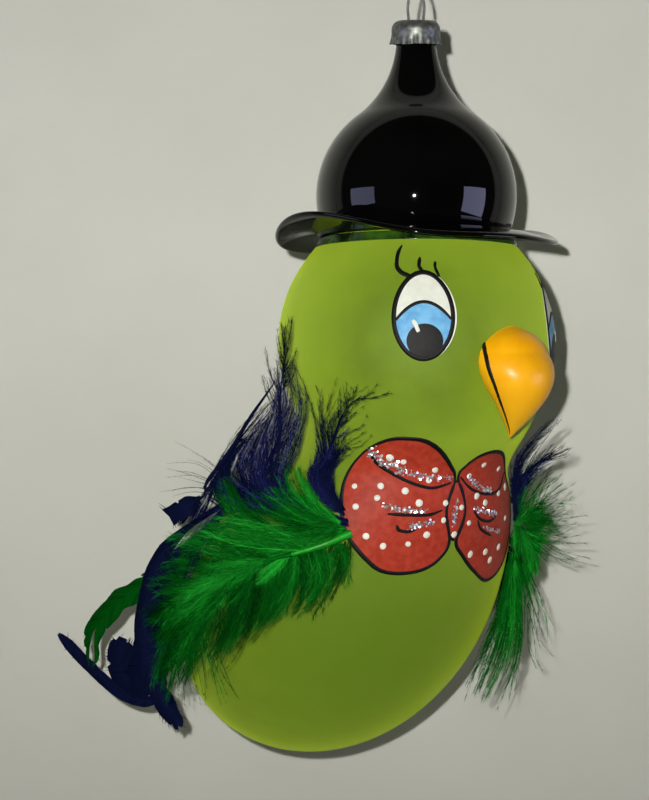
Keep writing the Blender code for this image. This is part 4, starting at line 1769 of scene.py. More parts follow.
@dataclass(frozen=True)
class Marabou:
    """A soft feather: a bare quill, then locks of long fluffy barbs on both sides of it.

    Attributes:
        name: name that follows the side's word.
        slot: material slot.
        finish: finish of the barbs.
        route: (turn, rise over the body's centre, standoff) along the shaft.
        quill: radius of the quill's end.
        bare: length of quill that shows.
        roots: length of shaft before the first barbs.
        locks: number of locks.
        tufts: tufts in a lock.
        barbs: barbs in a tuft.
        upper: barbs of the upper edge.
        lower: barbs of the lower edge.
        hair: length of the hairs on a barb.
        pitch: distance between hairs.
        lift: how far barbs stand up from the glass.
        seed: start of its random draws.
        fans: loose strands that belong to it.
        cover: locks that lie over the shaft.
        shade: middle shade.
    """

    name: str
    slot: str
    finish: Finish
    route: Route
    quill: float
    bare: float
    roots: float
    locks: int
    tufts: int
    barbs: int
    upper: Edge
    lower: Edge
    hair: float
    pitch: float
    lift: float
    seed: int
    fans: tuple[Fan, ...] = ()
    cover: int = 0
    shade: float = 0.45

    STEPS = 120
    BARB_STEPS = 7
    # How much the barbs are painted lighter at the root and darker towards the tip
    DARKER_TO_TIP = 0.65
    COVER_REACH = 0.62

    def dress(self, side: Side) -> None:
        """Build and finish the quill and the plume.

        Args:
            side: side of the bird.
        """
        title = side.word + "_" + self.name
        shaft = smooth(on_bird(self.route, side), self.STEPS)
        length = sum((end - start).length for start, end in zip(shaft, shaft[1:]))
        first = max(2, round(self.bare / length * self.STEPS))
        quill = shaft[:first + 1]
        radii = [self.quill * (1.15 - 0.5 * index / first) for index in range(first + 1)]
        stem = tube(title + "_shaft", quill, radii, 3)
        finish = self.finish
        if self.slot == "green_feather":
            finish = Finishes.GREEN_QUILL if side is Side.RIGHT else Finishes.SHADED_QUILL
        dress(stem, self.slot, finish, [title + "_quill"])
        if finish is Finishes.GREEN_QUILL:
            self.cut_end(stem, quill)
        down = Down(Soup(), self.seed + side.seed)
        spine = as_rows(shaft[first:])
        down.soup.tube(spine, np.linspace(self.quill * 0.65, 0.08, len(spine)), self.shade, 6)
        begin = self.roots / length
        for lock in range(self.locks):
            share = (lock + down.draw.uniform(0.2, 0.8)) / self.locks
            self.lock(down, shaft, begin, share, lock % 2 > 0, side)
        plume = down.soup.piece(title + "_barbs", strands=True)
        dress(plume, self.slot, self.finish, [title + "_plume"])
        down.soup = Soup()
        for lock in range(self.cover):
            share = 0.05 + 0.8 * (lock + down.draw.random()) / self.cover
            self.lock(down, shaft, self.bare / length, share, lock % 2 > 0, side, True)
        for fan in self.fans:
            fan.grow(down, side)
        if down.soup.count:
            dress(down.soup.piece(title + "_fluff", strands=True), self.slot, self.finish)

    @staticmethod
    def cut_end(stem: Piece, quill: Line) -> None:
        """Give the quill's cut end its pale pith.

        Args:
            stem: finished quill.
            quill: its middle line.
        """
        stem.data.materials.append(Finishes.PITH.material())
        back = (quill[0] - quill[1]).normalized()
        for face in stem.data.polygons:
            near = (face.center / MM - quill[0]).length < 0.3
            if near and face.normal.dot(back) > 0.9:
                face.material_index = 1

    def lock(self, down: Down, shaft: Line, begin: float, middle: float, upper: bool, side: Side,
             cover: bool = False) -> None:
        """Grow one lock: tufts that lean together, each of a few barbs.

        Args:
            down: what the barbs grow into.
            shaft: points along the shaft.
            begin: share of the shaft before its first barbs.
            middle: share of the rest at which the lock stands.
            upper: whether it stands on the upper edge.
            side: side of the bird.
            cover: whether it lies over the shaft.
        """
        draw = down.draw
        edge = self.upper if upper else self.lower
        hand = (1.0 if upper else -1.0) * side.value
        reach, angle = edge.at(middle)
        lift = self.lift * draw.uniform(-0.2, 1.0)
        if cover:
            reach *= self.COVER_REACH
            angle *= draw.uniform(0.1, 0.45)
            lift = self.lift * draw.uniform(0.9, 1.4)
        reach *= draw.uniform(0.85, 1.12)
        angle += draw.normal(0.0, 0.1)
        shade = self.shade + draw.normal(0.0, 0.1)
        # Painted light: barbs that stand higher off the glass are painted lighter and low ones darker, and
        # the shade runs darker towards the tip
        shade += 0.3 * (lift - 0.4 * self.lift) + self.DARKER_TO_TIP * (0.4 - middle)
        # Painted highlight: locks that lie over the shaft are painted lighter
        if cover:
            shade += 0.1
        lead = self.barb(down, shaft, begin + (1.0 - begin) * middle, hand, reach, angle, lift)
        for _ in range(self.tufts):
            aside = draw.normal(0.0, 0.85)
            share = min(0.985, max(0.0, middle + aside / self.locks))
            reach, angle = edge.at(share)
            if cover:
                reach *= self.COVER_REACH
                angle *= draw.uniform(0.0, 0.6)
            reach *= draw.uniform(0.7, 1.15)
            angle += draw.normal(0.0, 0.16)
            rise = lift + draw.normal(0.0, 0.12)
            # Painted shade: tufts away from the lock's middle are painted darker
            tone = shade + draw.normal(0.0, 0.12) - 0.05 * abs(aside)
            where = begin + (1.0 - begin) * share
            tuft = gathered(self.barb(down, shaft, where, hand, reach, angle, rise), lead, 0.35)
            for _ in range(self.barbs):
                barb = self.barb(down, shaft, where, hand, reach * draw.uniform(0.65, 1.1),
                                 angle + draw.normal(0.0, 0.2), rise + draw.normal(0.0, 0.14))
                down.strand(gathered(barb, tuft, 0.6), self.hair, self.pitch, tone + draw.normal(0.0, 0.08))

    def barb(self, down: Down, shaft: Line, where: float, hand: float, reach: float, angle: float,
             lift: float) -> Rows:
        """Middle line of one barb, which bends towards the feather's tip.

        Args:
            down: source of the random draws.
            shaft: points along the shaft.
            where: share of the shaft at its root.
            hand: sign of its edge.
            reach: its length.
            angle: radians between it and the shaft.
            lift: slope away from the glass.

        Returns:
            Points along it.
        """
        draw = down.draw
        last = len(shaft) - 1
        at = min(where * last, last - 0.01)
        index = int(at)
        root = shaft[index].lerp(shaft[index + 1], at - index)
        along = (shaft[min(index + 2, last)] - shaft[max(index - 1, 0)]).normalized()
        out = BIRD.outward(root)
        across = along.cross(out).normalized() * hand
        along, across, out, root = as_rows((along, across, out, root - out * self.quill * 0.6))
        t = np.linspace(0.0, 1.0, self.BARB_STEPS + 1)
        sway = 0.2 * np.sin(math.tau * (t * draw.uniform(0.5, 1.2) + draw.random())) * t
        bend = angle * (1.0 - 0.65 * t) + sway
        rise = lift * (1.0 - 0.9 * t) + 0.16 * np.sin(math.tau * (t + draw.random())) * t
        way = np.cos(bend)[:, None] * along + np.sin(bend)[:, None] * across + rise[:, None] * out
        run = np.concatenate([np.zeros((1, 3)), np.cumsum(way[:-1], 0)]) * reach / self.BARB_STEPS
        return root + along * draw.normal(0.0, 0.6) + run


@dataclass(frozen=True)
class Blade:
    """One stiff blade: a shaft with a closed web of barbs on both sides.

    Attributes:
        route: (turn, rise over the body's centre, standoff) along the shaft.
        half_width: widest reach of the web.
        blunt: how squarely the tip ends.
        narrow: share of the width at the root.
        split: share of the length at which the tip forks.
        frayed: number of barbs that stand out at the tip.
        lean: angle in degrees between the barbs and the shaft.
    """

    route: Route
    half_width: float
    blunt: float
    narrow: float = 0.6
    split: float = 1.0
    frayed: int = 8
    lean: float = 28.0

    STEPS = 150
    ACROSS = 5
    THICK = 0.32
    CUP = 0.2
    FACING = (-0.8, -0.6, 0.1)

    def width(self, share: Rows) -> Rows:
        """Reach of the web along the blade.

        Args:
            share: shares of the length.

        Returns:
            Reach at each of them.
        """
        rise = np.minimum(1.0, self.narrow + share / 0.4)
        fall = np.clip((1.0 - share) / max(0.04, 0.6 * (1.0 - self.blunt)), 0.05, 1.0)
        return self.half_width * rise * np.sqrt(fall)

    def grow(self, down: Down, side: Side, shade: float) -> None:
        """Grow the shaft and both webs.

        Args:
            down: what it grows into.
            side: side of the bird.
            shade: middle shade.
        """
        shaft = as_rows(smooth(on_bird(self.route, side), self.STEPS))
        share = np.linspace(0.0, 1.0, len(shaft))
        bare = shaft[share <= self.split]
        down.soup.tube(bare, np.linspace(0.34, 0.12, len(bare)), shade + 0.1, 6)
        along = unit(np.gradient(shaft, axis=0))
        out = as_rows([BIRD.outward(Vector(point)) for point in shaft])
        facing = unit(np.array(self.FACING) * (side.value, 1.0, 1.0))
        swing = np.clip((share - 0.1) / 0.25, 0.0, 1.0)[:, None]
        across = unit(np.cross(along, unit(out * (1.0 - swing) + facing * swing)))
        flat = np.cross(across, along)
        lean = math.radians(self.lean)
        for hand in (1.0, -1.0):
            way = math.cos(lean) * along + math.sin(lean) * across * hand
            self.web(down, shaft, way, flat, share, shade)

    def web(self, down: Down, shaft: Rows, way: Rows, flat: Rows, share: Rows,
            shade: float) -> None:
        """Grow one web, a thin skin whose rows follow the barbs.

        Args:
            down: what it grows into.
            shaft: points along the shaft.
            way: direction of the barb at each of them.
            flat: normal of the web at each of them.
            share: share of the length at each of them.
            shade: middle shade.
        """
        draw = down.draw
        edge = 1.0 + 0.03 * np.sin(share * 21.0 + draw.random() * 6.0) + draw.normal(0.0, 0.012, len(share))
        for _ in range(3):
            edge -= draw.uniform(0.1, 0.35) * np.exp(-((share - draw.uniform(0.4, 0.97)) / 0.008) ** 2)
        reach = self.width(share) * edge / math.sin(math.radians(self.lean))
        fork = np.clip((share - self.split) / max(1.0 - self.split, 0.01), 0.0, 1.0)
        inner = 0.75 * fork * reach
        row = np.linspace(0.0, 1.0, self.ACROSS + 1)
        run = inner[:, None] + (reach - inner)[:, None] * row
        sag = self.CUP * reach[:, None] * row ** 2
        skin = shaft[:, None] + way[:, None] * run[..., None] - flat[:, None] * sag[..., None]
        skin = BIRD.cleared(skin.reshape(-1, 3), 0.5).reshape(skin.shape)
        half = flat[:, None] * (self.THICK / 2 * (1.0 - 0.75 * row))[None, :, None]
        rings = np.concatenate([skin + half, (skin - half)[:, ::-1]], axis=1)
        tone = shade + draw.normal(0.0, 0.06, len(share))
        down.soup.loft(rings, np.repeat(tone[:, None], rings.shape[1], axis=1))
        for index in draw.integers(int(len(share) * 0.82), len(share), self.frayed):
            start = skin[index, -2]
            end = skin[index, -1] + way[index] * draw.uniform(0.4, 1.6) + draw.normal(0.0, 0.25, 3)
            path = BIRD.cleared(start + (end - start) * np.linspace(0.0, 1.0, 4)[:, None], 0.5)
            down.soup.tube(path, np.linspace(0.13, 0.03, 4), tone[index], 3)


@dataclass(frozen=True)
class Vane:
    """A stiff feather of one or more blades.

    Attributes:
        name: name that follows the side's word, and of the node it stands for.
        slot: material slot.
        finish: finish of the feather.
        blades: its blades.
        seed: start of its random draws.
        shade: middle shade.
        fans: loose strands that belong to it.
    """

    name: str
    slot: str
    finish: Finish
    blades: tuple[Blade, ...]
    seed: int
    shade: float = 0.3
    fans: tuple[Fan, ...] = ()

    def dress(self, side: Side) -> None:
        """Build and finish the feather.

        Args:
            side: side of the bird.
        """
        title = side.word + "_" + self.name
        down = Down(Soup(), self.seed + side.seed)
        for blade in self.blades:
            blade.grow(down, side, self.shade)
        for fan in self.fans:
            fan.grow(down, side)
        dress(down.soup.piece(title + "_vane", strands=True), self.slot, self.finish, [title])


@dataclass(frozen=True)
class GlueDab:
    """Clear glue over feather ends, a lumpy drop that follows the glass."""

    name: str
    middle: Pair
    radius: float
    height: float
    seed: int

    def dress(self, side: Side) -> None:
        """Build and finish the dab.

        Args:
            side: side of the bird.
        """
        draw = random.Random(self.seed)
        waves = [(count, draw.uniform(0.0, math.tau), draw.uniform(0.03, 0.1)) for count in (2, 3, 5, 8)]
        ground = Ground(BIRD, BODY_Z + self.middle[1], side.value)
        middle = ground.flat([(self.middle[0], 0.0)])[0]
        rings, around = 9, 40
        points = [tuple(ground.place(middle, self.height))]
        for ring in range(1, rings + 1):
            share = ring / rings
            for step in range(around):
                angle = math.tau * step / around
                edge = 1.0 + sum(size * math.sin(count * angle + start) for count, start, size in waves)
                spot = middle + Vector((math.cos(angle), math.sin(angle), 0.0)) * self.radius * share * edge
                points.append(tuple(ground.place(spot, 0.03 + self.height * (1.0 - share ** 2.4))))
        soup = Soup()
        soup.grow(np.array(points), dome_faces(rings, around), 0.5)
        title = side.word + "_" + self.name
        piece = outward_faces(soup.piece(title + "_drop"))
        dress(piece, "glue", Finishes.CLEAR_GLUE, [title])


class Plumage:
    """Wings and tail of both sides, their routes as (turn, rise over the body's centre, standoff)."""

    UNDER_QUILL = ((54, 17, 2.8), (56, 10.5, 3.8), (60, 3.3, 4.4), (64, -3.1, 4.9))
    GREEN_FANS = (
        Fan(((43, 19, 2), (41, 12.7, 2.9), (42, 5.6, 3.4), (44, 0.6, 3.9)), UNDER_QUILL,
            56, 3.6, 0.38, 0.9, 0.3, 0.45, 9, 0.35),
        Fan(UNDER_QUILL,
            ((68, 14.2, 3.8), (70, 5, 5), (74, -3.7, 5.4), (79, -12.8, 5.9)),
            60, 3.6, 0.38, 0.9, 0.3, 0.45, 9, 0.35),
        Fan(((49, 23.5, 3.9), (55, 26.3, 6.4), (63, 31.2, 8.3), (74, 36.9, 9.3)),
            ((49, 22.9, 3.9), (58, 25.7, 7.3), (70, 30.8, 9.3), (79, 36.9, 10.3)),
            54, 3.4, 0.38, 0.7, 0.5, 0.5, 5, 0.4),
        Fan(((49, 22.9, 4), (59, 25.4, 7.5), (69, 29.9, 10), (77, 34.1, 11)),
            ((50, 22.2, 3.8), (61, 23, 8.8), (71, 24.8, 11.5), (82, 28.5, 13)),
            64, 3.4, 0.38, 0.8, 0.45, 0.45, 6, 0.4),
        Fan(((68, 23.3, 10.9), (76, 26.8, 12.9), (85, 30.9, 14.4), (98, 36.2, 15.4)),
            ((71, 21.9, 11.3), (80, 24.2, 13.9), (87, 27.8, 15.4), (96, 31.8, 15.9)),
            40, 3.2, 0.4, 0.8, 0.36, 0.5, 5, 0.45),
        Fan(((47, 22.3, 3.2), (56, 22.6, 6), (68, 22, 8.5), (82, 19.5, 11)),
            ((47, 21.3, 3.2), (56, 19.4, 6.6), (66, 17.4, 9.4), (78, 13.5, 11.6)),
            76, 3.8, 0.36, 0.8, 0.45, 0.45, 7),
        Fan(((84, -6.3, 9.9), (88, -16.4, 10), (104, -31, 11)),
            ((76, -5.6, 8.9), (71, -13.8, 6.9), (69, -23.4, 4.9)), 16, 2.4, 0.6, 1, 0.4, 0.5, 8),
    )
    BOW_FANS = (
        Fan(((47, 24, 2.9), (60, 26.4, 4.3), (73, 30.1, 5.4), (88, 35.9, 6.5), (99, 43.9, 7.5),
             (93, 50.9, 7.9)),
            ((47, 23.1, 2.9), (65, 24.9, 4.8), (83, 26.9, 6.5), (106, 32.3, 8.5), (116, 40.4, 11.5),
             (106, 48.9, 9.5)), 90, 2.6, 0.4, 0.8, 0.3, 0.45, 11, 0.35),
        Fan(((47, 23.5, 2.9), (59, 25.4, 4.4), (74, 28.2, 5.8), (93, 31.7, 7.9), (112, 36, 11.6)),
            ((46, 22.6, 2.9), (64, 24.4, 4.9), (79, 25.1, 6.4), (94, 26.6, 9), (110, 29.1, 11)),
            70, 2.6, 0.4, 0.8, 0.28, 0.45, 8, 0.35),
        Fan(((65, 24.8, 4.3), (85, 26.9, 7.4), (103, 30.9, 11), (118, 38.2, 12.8), (115, 45.7, 11.7),
             (91, 53.9, 9.9)),
            ((68, 25.3, 4.9), (86, 25.7, 8.4), (98, 28.1, 12.9), (115, 35.7, 14), (118, 44.1, 14.4),
             (92, 52.9, 11.9)), 44, 1.8, 0.45, 0.6, 0.28, 0.5, 6, 0.35),
        Fan(((50, 25.3, 3.2), (63, 30.4, 4.4), (69, 34.4, 6), (72, 38.5, 6.8), (78, 42.2, 7.9)),
            ((49, 25.3, 3), (56, 30.5, 4.6), (62, 35.4, 5.8), (63, 39.2, 6.8), (60, 41.4, 7.8)),
            100, 3, 0.28, 0.8, 0.42, 0.55, 10, 0.2),
        Fan(((72, 39, 4.9), (80, 45.2, 6.3), (83, 51.4, 6.9), (86, 59.3, 7.4)),
            ((70, 39, 4.8), (77, 45.3, 6.2), (70, 52, 6.9), (62, 57.6, 7.2)),
            13, 2.6, 0.42, 0.9, 0.22, 0.5, 6, 0.25),
        Fan(((68, 39, 4.8), (75, 45.3, 6.2), (68, 51, 6.9), (57, 56.6, 7.2)),
            ((66, 39.1, 4.9), (70, 44.5, 6.4), (63, 48.8, 6.9), (51, 53.8, 7.2)),
            12, 2.6, 0.42, 0.8, 0.22, 0.5, 5, 0.25),
        Fan(((65, 38.5, 4.9), (66, 44.1, 6.2), (60, 46.4, 6.4), (58, 49.4, 6.8)),
            ((65, 36, 5), (63, 38.5, 5.8), (59, 40.2, 6.2), (55, 40.5, 6.4)),
            10, 2.2, 0.45, 0.7, 0.22, 0.6, 5, 0.2),
    )
    NECK_INNER = ((50, 24.2, 3.3), (66, 27.3, 5.9), (84, 32.7, 7.9), (98, 40.2, 9.4), (91, 49.6, 10),
                  (86, 55.8, 10), (88, 62.5, 9.9))
    NECK_FANS = (
        Fan(((50, 24.2, 3.3), (64, 27.9, 5.5), (77, 32.8, 7), (81, 39.2, 7.8), (81, 48.5, 8.9),
             (81, 55.2, 9), (84, 62.5, 8.9)), NECK_INNER, 66, 2.8, 0.4, 1, 0.4, 0.38, 11, 0.45),
        Fan(NECK_INNER,
            ((51, 24, 3.4), (67, 25.6, 6.8), (83, 29.3, 9.9), (102, 35.9, 11.9), (112, 42.4, 13),
             (97, 47.2, 12.9), (85, 54.4, 12)), 78, 2.8, 0.4, 0.9, 0.45, 0.4, 11, 0.45),
        Fan(((51, 23.6, 3.4), (66, 26.4, 6.2), (80, 30.5, 8), (92, 36, 9.5)),
            ((52, 23, 3.4), (66, 24.4, 6.8), (84, 27.3, 9.6), (100, 31.9, 11.5)),
            84, 2.8, 0.34, 0.7, 0.42, 0.55, 7),
        Fan(((76, 25.7, 5.5), (87, 28.7, 9), (100, 33.5, 12), (112, 40.1, 13.2), (103, 44.4, 13)),
            ((78, 25.1, 5.5), (86, 26.9, 10.9), (98, 30.3, 13.6), (106, 36.6, 14.6), (107, 42.5, 14.6)),
            70, 2.6, 0.38, 0.6, 0.38, 0.5, 6),
        Fan(((79, 28.5, 10.9), (87, 26.4, 13.9), (89, 22.3, 15.9), (91, 15.5, 16.4)),
            ((76, 24.2, 11.3), (80, 20.5, 14.4), (81, 14.9, 15.9), (81, 6.5, 15.9)),
            40, 3.2, 0.4, 0.9, 0.3, 0.4, 8, 0.3),
        Fan(((72, 28, 9.8), (84, 31.5, 11.9), (96, 35, 13.9), (112, 39.1, 15)),
            ((73, 26.2, 10.8), (84, 27.8, 13.5), (94, 30.6, 15.5), (102, 33.5, 16.5)),
            36, 3, 0.4, 0.8, 0.32, 0.5, 6, 0.35),
        Fan(((102, 34.1, 13), (122, 38.4, 20), (123, 42.2, 31)),
            ((99, 29.1, 13), (93, 29, 22), (90, 26.5, 31)), 11, 0.9, 0.9, 1, 0.4, 0.6, 6),
    )
    BAND_FANS = (
        Fan(((100, 24, 9), (100, 32, 13), (106, 40, 15)),
            ((104, 21, 14), (101, 30.5, 15), (106, 38.5, 16)), 46, 1.6, 0.5, 0.4, 0.3, 0.6),
        Fan(((101, 31.5, 13), (104, 36.5, 13.6), (110, 41.5, 13.8), (104, 45.2, 12.4)),
            ((103, 30.8, 13.4), (106, 35.9, 14), (113, 41.1, 14.8), (105, 44.2, 12.8)),
            12, 0.5, 0.8, 0.2, 0.3, 0.8, 1),
    )
    LEFT_UP = ((48, 20.2, 1.2), (52, 25.4, 5.1), (56, 29.6, 10.3), (59, 32.6, 15.5))
    LEFT_OUT = ((48, 19.4, 1.2), (52, 19.6, 7.4), (54, 19.9, 14.7), (55, 21.2, 22.2))
    LEFT_DOWN = ((46, 12.3, 1.8), (46, -2.1, 5.2), (44, -14.6, 9.4), (40, -27.9, 15.7))
    LEFT_GREEN_FANS = (
        Fan(((47, 20.3, 1), (48, 28.2, 2.1), (53, 33.3, 4.7), (57, 37.8, 5.4)), LEFT_UP,
            24, 3.2, 0.4, 1.2, 0.42, 0.35, 7, 0.3),
        Fan(LEFT_UP, LEFT_OUT, 24, 3.2, 0.4, 1.4, 0.42, 0.5, 8, 0.3),
        Fan(LEFT_OUT,
            ((48, 17.6, 1.2), (50, 13.4, 6.8), (52, 8.3, 13.6), (53, 4.1, 20.6)),
            24, 3.2, 0.4, 1.4, 0.42, 0.5, 8, 0.3),
        Fan(((45, 12.4, 0.8), (44, -0.1, 1.3), (42, -12.7, 2.7), (37, -25.6, 6.2)), LEFT_DOWN,
            90, 3.6, 0.38, 1, 0.42, 0.55, 9, 0.35),
        Fan(LEFT_DOWN,
            ((47, 12.3, 2.9), (47, -2.2, 7.4), (46, -14.9, 13.5), (41, -28.8, 22.7)),
            44, 3.6, 0.38, 1.2, 0.42, 0.4, 9, 0.3),
        Fan(((47, 8.7, 4), (48, -4.1, 9.5), (48, -15.1, 15.8), (44, -24.9, 26.4)),
            ((47, 10.5, 4.5), (48, 3.2, 10.2), (49, -3.3, 15.2), (48, -10, 20.9)),
            14, 3, 0.42, 1.5, 0.42, 0.5, 7, 0.2),
        Fan(((48, 18.6, 3), (59, 22.4, 5.5), (70, 28.1, 11), (78, 34.5, 17)),
            ((48, 18, 3), (56, 18.9, 7), (66, 21.8, 15.3), (73, 25.4, 25)),
            16, 3.2, 0.4, 1.2, 0.42, 0.4, 7, 0.4),
    )
    LEFT_NAVY = ((47, 21.2, 1.2), (49, 30.8, 2.8), (51, 37.3, 7.4), (53, 40, 13.3))
    LEFT_NAVY_FANS = (
        Fan(((45, 21.3, 0.8), (46, 30, 0.9), (46, 39.1, 1.4), (47, 49.2, 4.9)),
            ((45, 21.3, 1), (48, 31.7, 2.1), (49, 39.1, 4.5), (51, 46.7, 8)),
            44, 2.8, 0.4, 0.8, 0.36, 0.4, 7, 0.35),
        Fan(LEFT_NAVY,
            ((47, 21.2, 1.2), (50, 28.6, 3.3), (53, 33.7, 9.2), (55, 36.3, 14.4)),
            50, 2.8, 0.4, 0.8, 0.36, 0.4, 7, 0.35),
        Fan(((55, 24, 1.6), (66, 29, 2.4), (77, 33.6, 5.6), (88, 37.6, 10)),
            ((55, 24, 2.4), (67, 31, 6), (75, 34.6, 14), (81, 37.5, 20)),
            30, 2.8, 0.4, 0.8, 0.36, 0.5, 5, 0.4),
    )
    NAVY_EDGE = Edge((6, 7, 8), (40, 28, 16))
    NECK_EDGE = Edge((13, 12, 8), (44, 28, 14))
    LOW_EDGE = Edge((9, 8, 5), (36, 22, 10))
    WINGS = (
        Marabou("wing_green", "green_feather", Finishes.GREEN_FEATHER,
                ((44, 20.8, 2.2), (53, 17.6, 5.2), (64, 14.6, 8), (72, 11, 9.6), (79, 6, 10.6),
                 (84, 1, 11), (87, -3.5, 11)), 0.9, 15, 5, 34, 5, 4,
                Edge((22, 18, 11), (38, 52, 36)), Edge((11, 23, 18), (112, 66, 32)),
                4.4, 0.36, 0.42, 3, GREEN_FANS, 14),
        Marabou("wing_navy", "navy_feather", Finishes.NAVY_FEATHER,
                ((50, 26, 2.2), (57.5, 30.8, 3.4), (67, 36.7, 4.6), (72, 43.8, 5.6), (67.8, 49.7, 6),
                 (60, 53.1, 6.5)), 0.6, 4, 3, 8, 2, 2, NAVY_EDGE, NAVY_EDGE, 2.4, 0.42, 0.2, 4, BOW_FANS,
                shade=0.3),
        Marabou("shoulder_navy", "navy_feather", Finishes.NAVY_FEATHER,
                ((50.5, 23.4, 2.2), (64, 25.6, 2.2), (79, 29, 4.2), (92, 35, 7), (98, 43.5, 8.5),
                 (94, 52, 9), (87, 60, 9), (86, 65, 9)), 0.6, 22, 20, 14, 3, 3,
                NECK_EDGE, NECK_EDGE, 2.4, 0.4, 0.25, 5, NECK_FANS, shade=0.3),
    )
    LEFT_WINGS = (
        replace(WINGS[0], fans=LEFT_GREEN_FANS, bare=5, roots=1, shade=0.42,
                upper=Edge((16, 15, 11), (38, 52, 36)),
                lower=Edge((9, 12, 12), (100, 52, 28))),
        replace(WINGS[1], fans=LEFT_NAVY_FANS, route=(
            (50, 26, 2.2), (50.5, 29.5, 3), (51.5, 32.5, 4.6), (52.5, 35, 6.6), (54, 36.6, 9))),
        replace(WINGS[2], fans=(), locks=20, upper=LOW_EDGE, lower=LOW_EDGE, route=(
            (50.5, 23.4, 2.2), (64, 25.6, 2.2), (79, 29, 3.4), (92, 35, 4.6), (98, 43.5, 5),
            (95, 52, 5), (92, 60, 5), (92, 65, 5))),
    )
    TAIL = (
        Vane("tail_pointed", "navy_feather", Finishes.NAVY_FEATHER, (
            Blade(((134.5, 27.5, 1.7), (124, 16, 9.5), (124, -0.8, 9.8), (121, -14.2, 9.8),
                   (117.2, -26.2, 10.4), (110.2, -33.7, 12.6)), 3, 0.75, frayed=14),), 31),
        Vane("tail_blunt", "navy_feather", Finishes.NAVY_FEATHER, (
            Blade(((137, 25.4, 1.7), (128, 9, 6.6), (129.5, -6.8, 7.4), (130, -19.6, 12.3),
                   (133, -24.3, 17.8), (137.9, -19.5, 20.3), (140.8, -14.2, 21.2)),
                  4.8, 0.8, 1, frayed=14, lean=48),), 32),
        Vane("tail_long", "navy_feather", Finishes.NAVY_FEATHER, (
            Blade(((139.5, 23.2, 1.7), (133, 3, 3.8), (134.5, -14, 5.6), (133, -28.5, 13.5),
                   (134.3, -29, 22.9), (138.1, -21, 30.5), (141, -13.2, 38.2)),
                  1.6, 0.9, frayed=2, lean=45),), 33),
        Vane("tail_green", "green_feather", Finishes.GREEN_FEATHER, (
            Blade(((142, 26, 1.7), (141, 12, 5), (137, 3, 12.5), (136.5, -1.5, 18), (137.6, -10.4, 25.5),
                   (137.2, -20.1, 28.5)), 3, 0.7, split=0.84, frayed=4),),
             34, 0.25),
        Vane("neck_biot", "navy_feather", Finishes.NAVY_FEATHER, (
            Blade(((138.5, 28, 1.7), (122, 29.5, 9), (104, 31.5, 15), (107, 41, 16.5), (102, 47.8, 15.5),
                   (86, 56, 13.5)), 0.5, 0.5, frayed=0),
            Blade(((102, 28.3, 14), (103, 25.4, 16), (101, 23.8, 18.9)),
                  2.5, 0.96, 0.8, frayed=2, lean=78),
        ), 35, fans=BAND_FANS),
    )
    LEFT_TAIL = TAIL[:-1] + (
        replace(TAIL[-1], blades=(
            Blade(((138.5, 28, 1.7), (124, 29.5, 8), (110, 31.5, 11), (112, 41, 11.5), (110, 47.8, 10.5),
                   (104, 54, 8.5)), 0.5, 0.5, frayed=0), TAIL[-1].blades[1])),
    )
    GLUE = (
        GlueDab("wing_glue", (47.5, 23.2), 3.6, 1.1, 41),
        GlueDab("tail_glue", (138, 25.2), 4.4, 1.6, 42),
    )

    def dress(self) -> None:
        """Build and finish every feather and drop of glue."""
        for side in Side:
            feathers = self.WINGS + self.TAIL if side is Side.RIGHT else self.LEFT_WINGS + self.LEFT_TAIL
            for feather in feathers:
                feather.dress(side)
            for dab in self.GLUE:
                dab.dress(side)


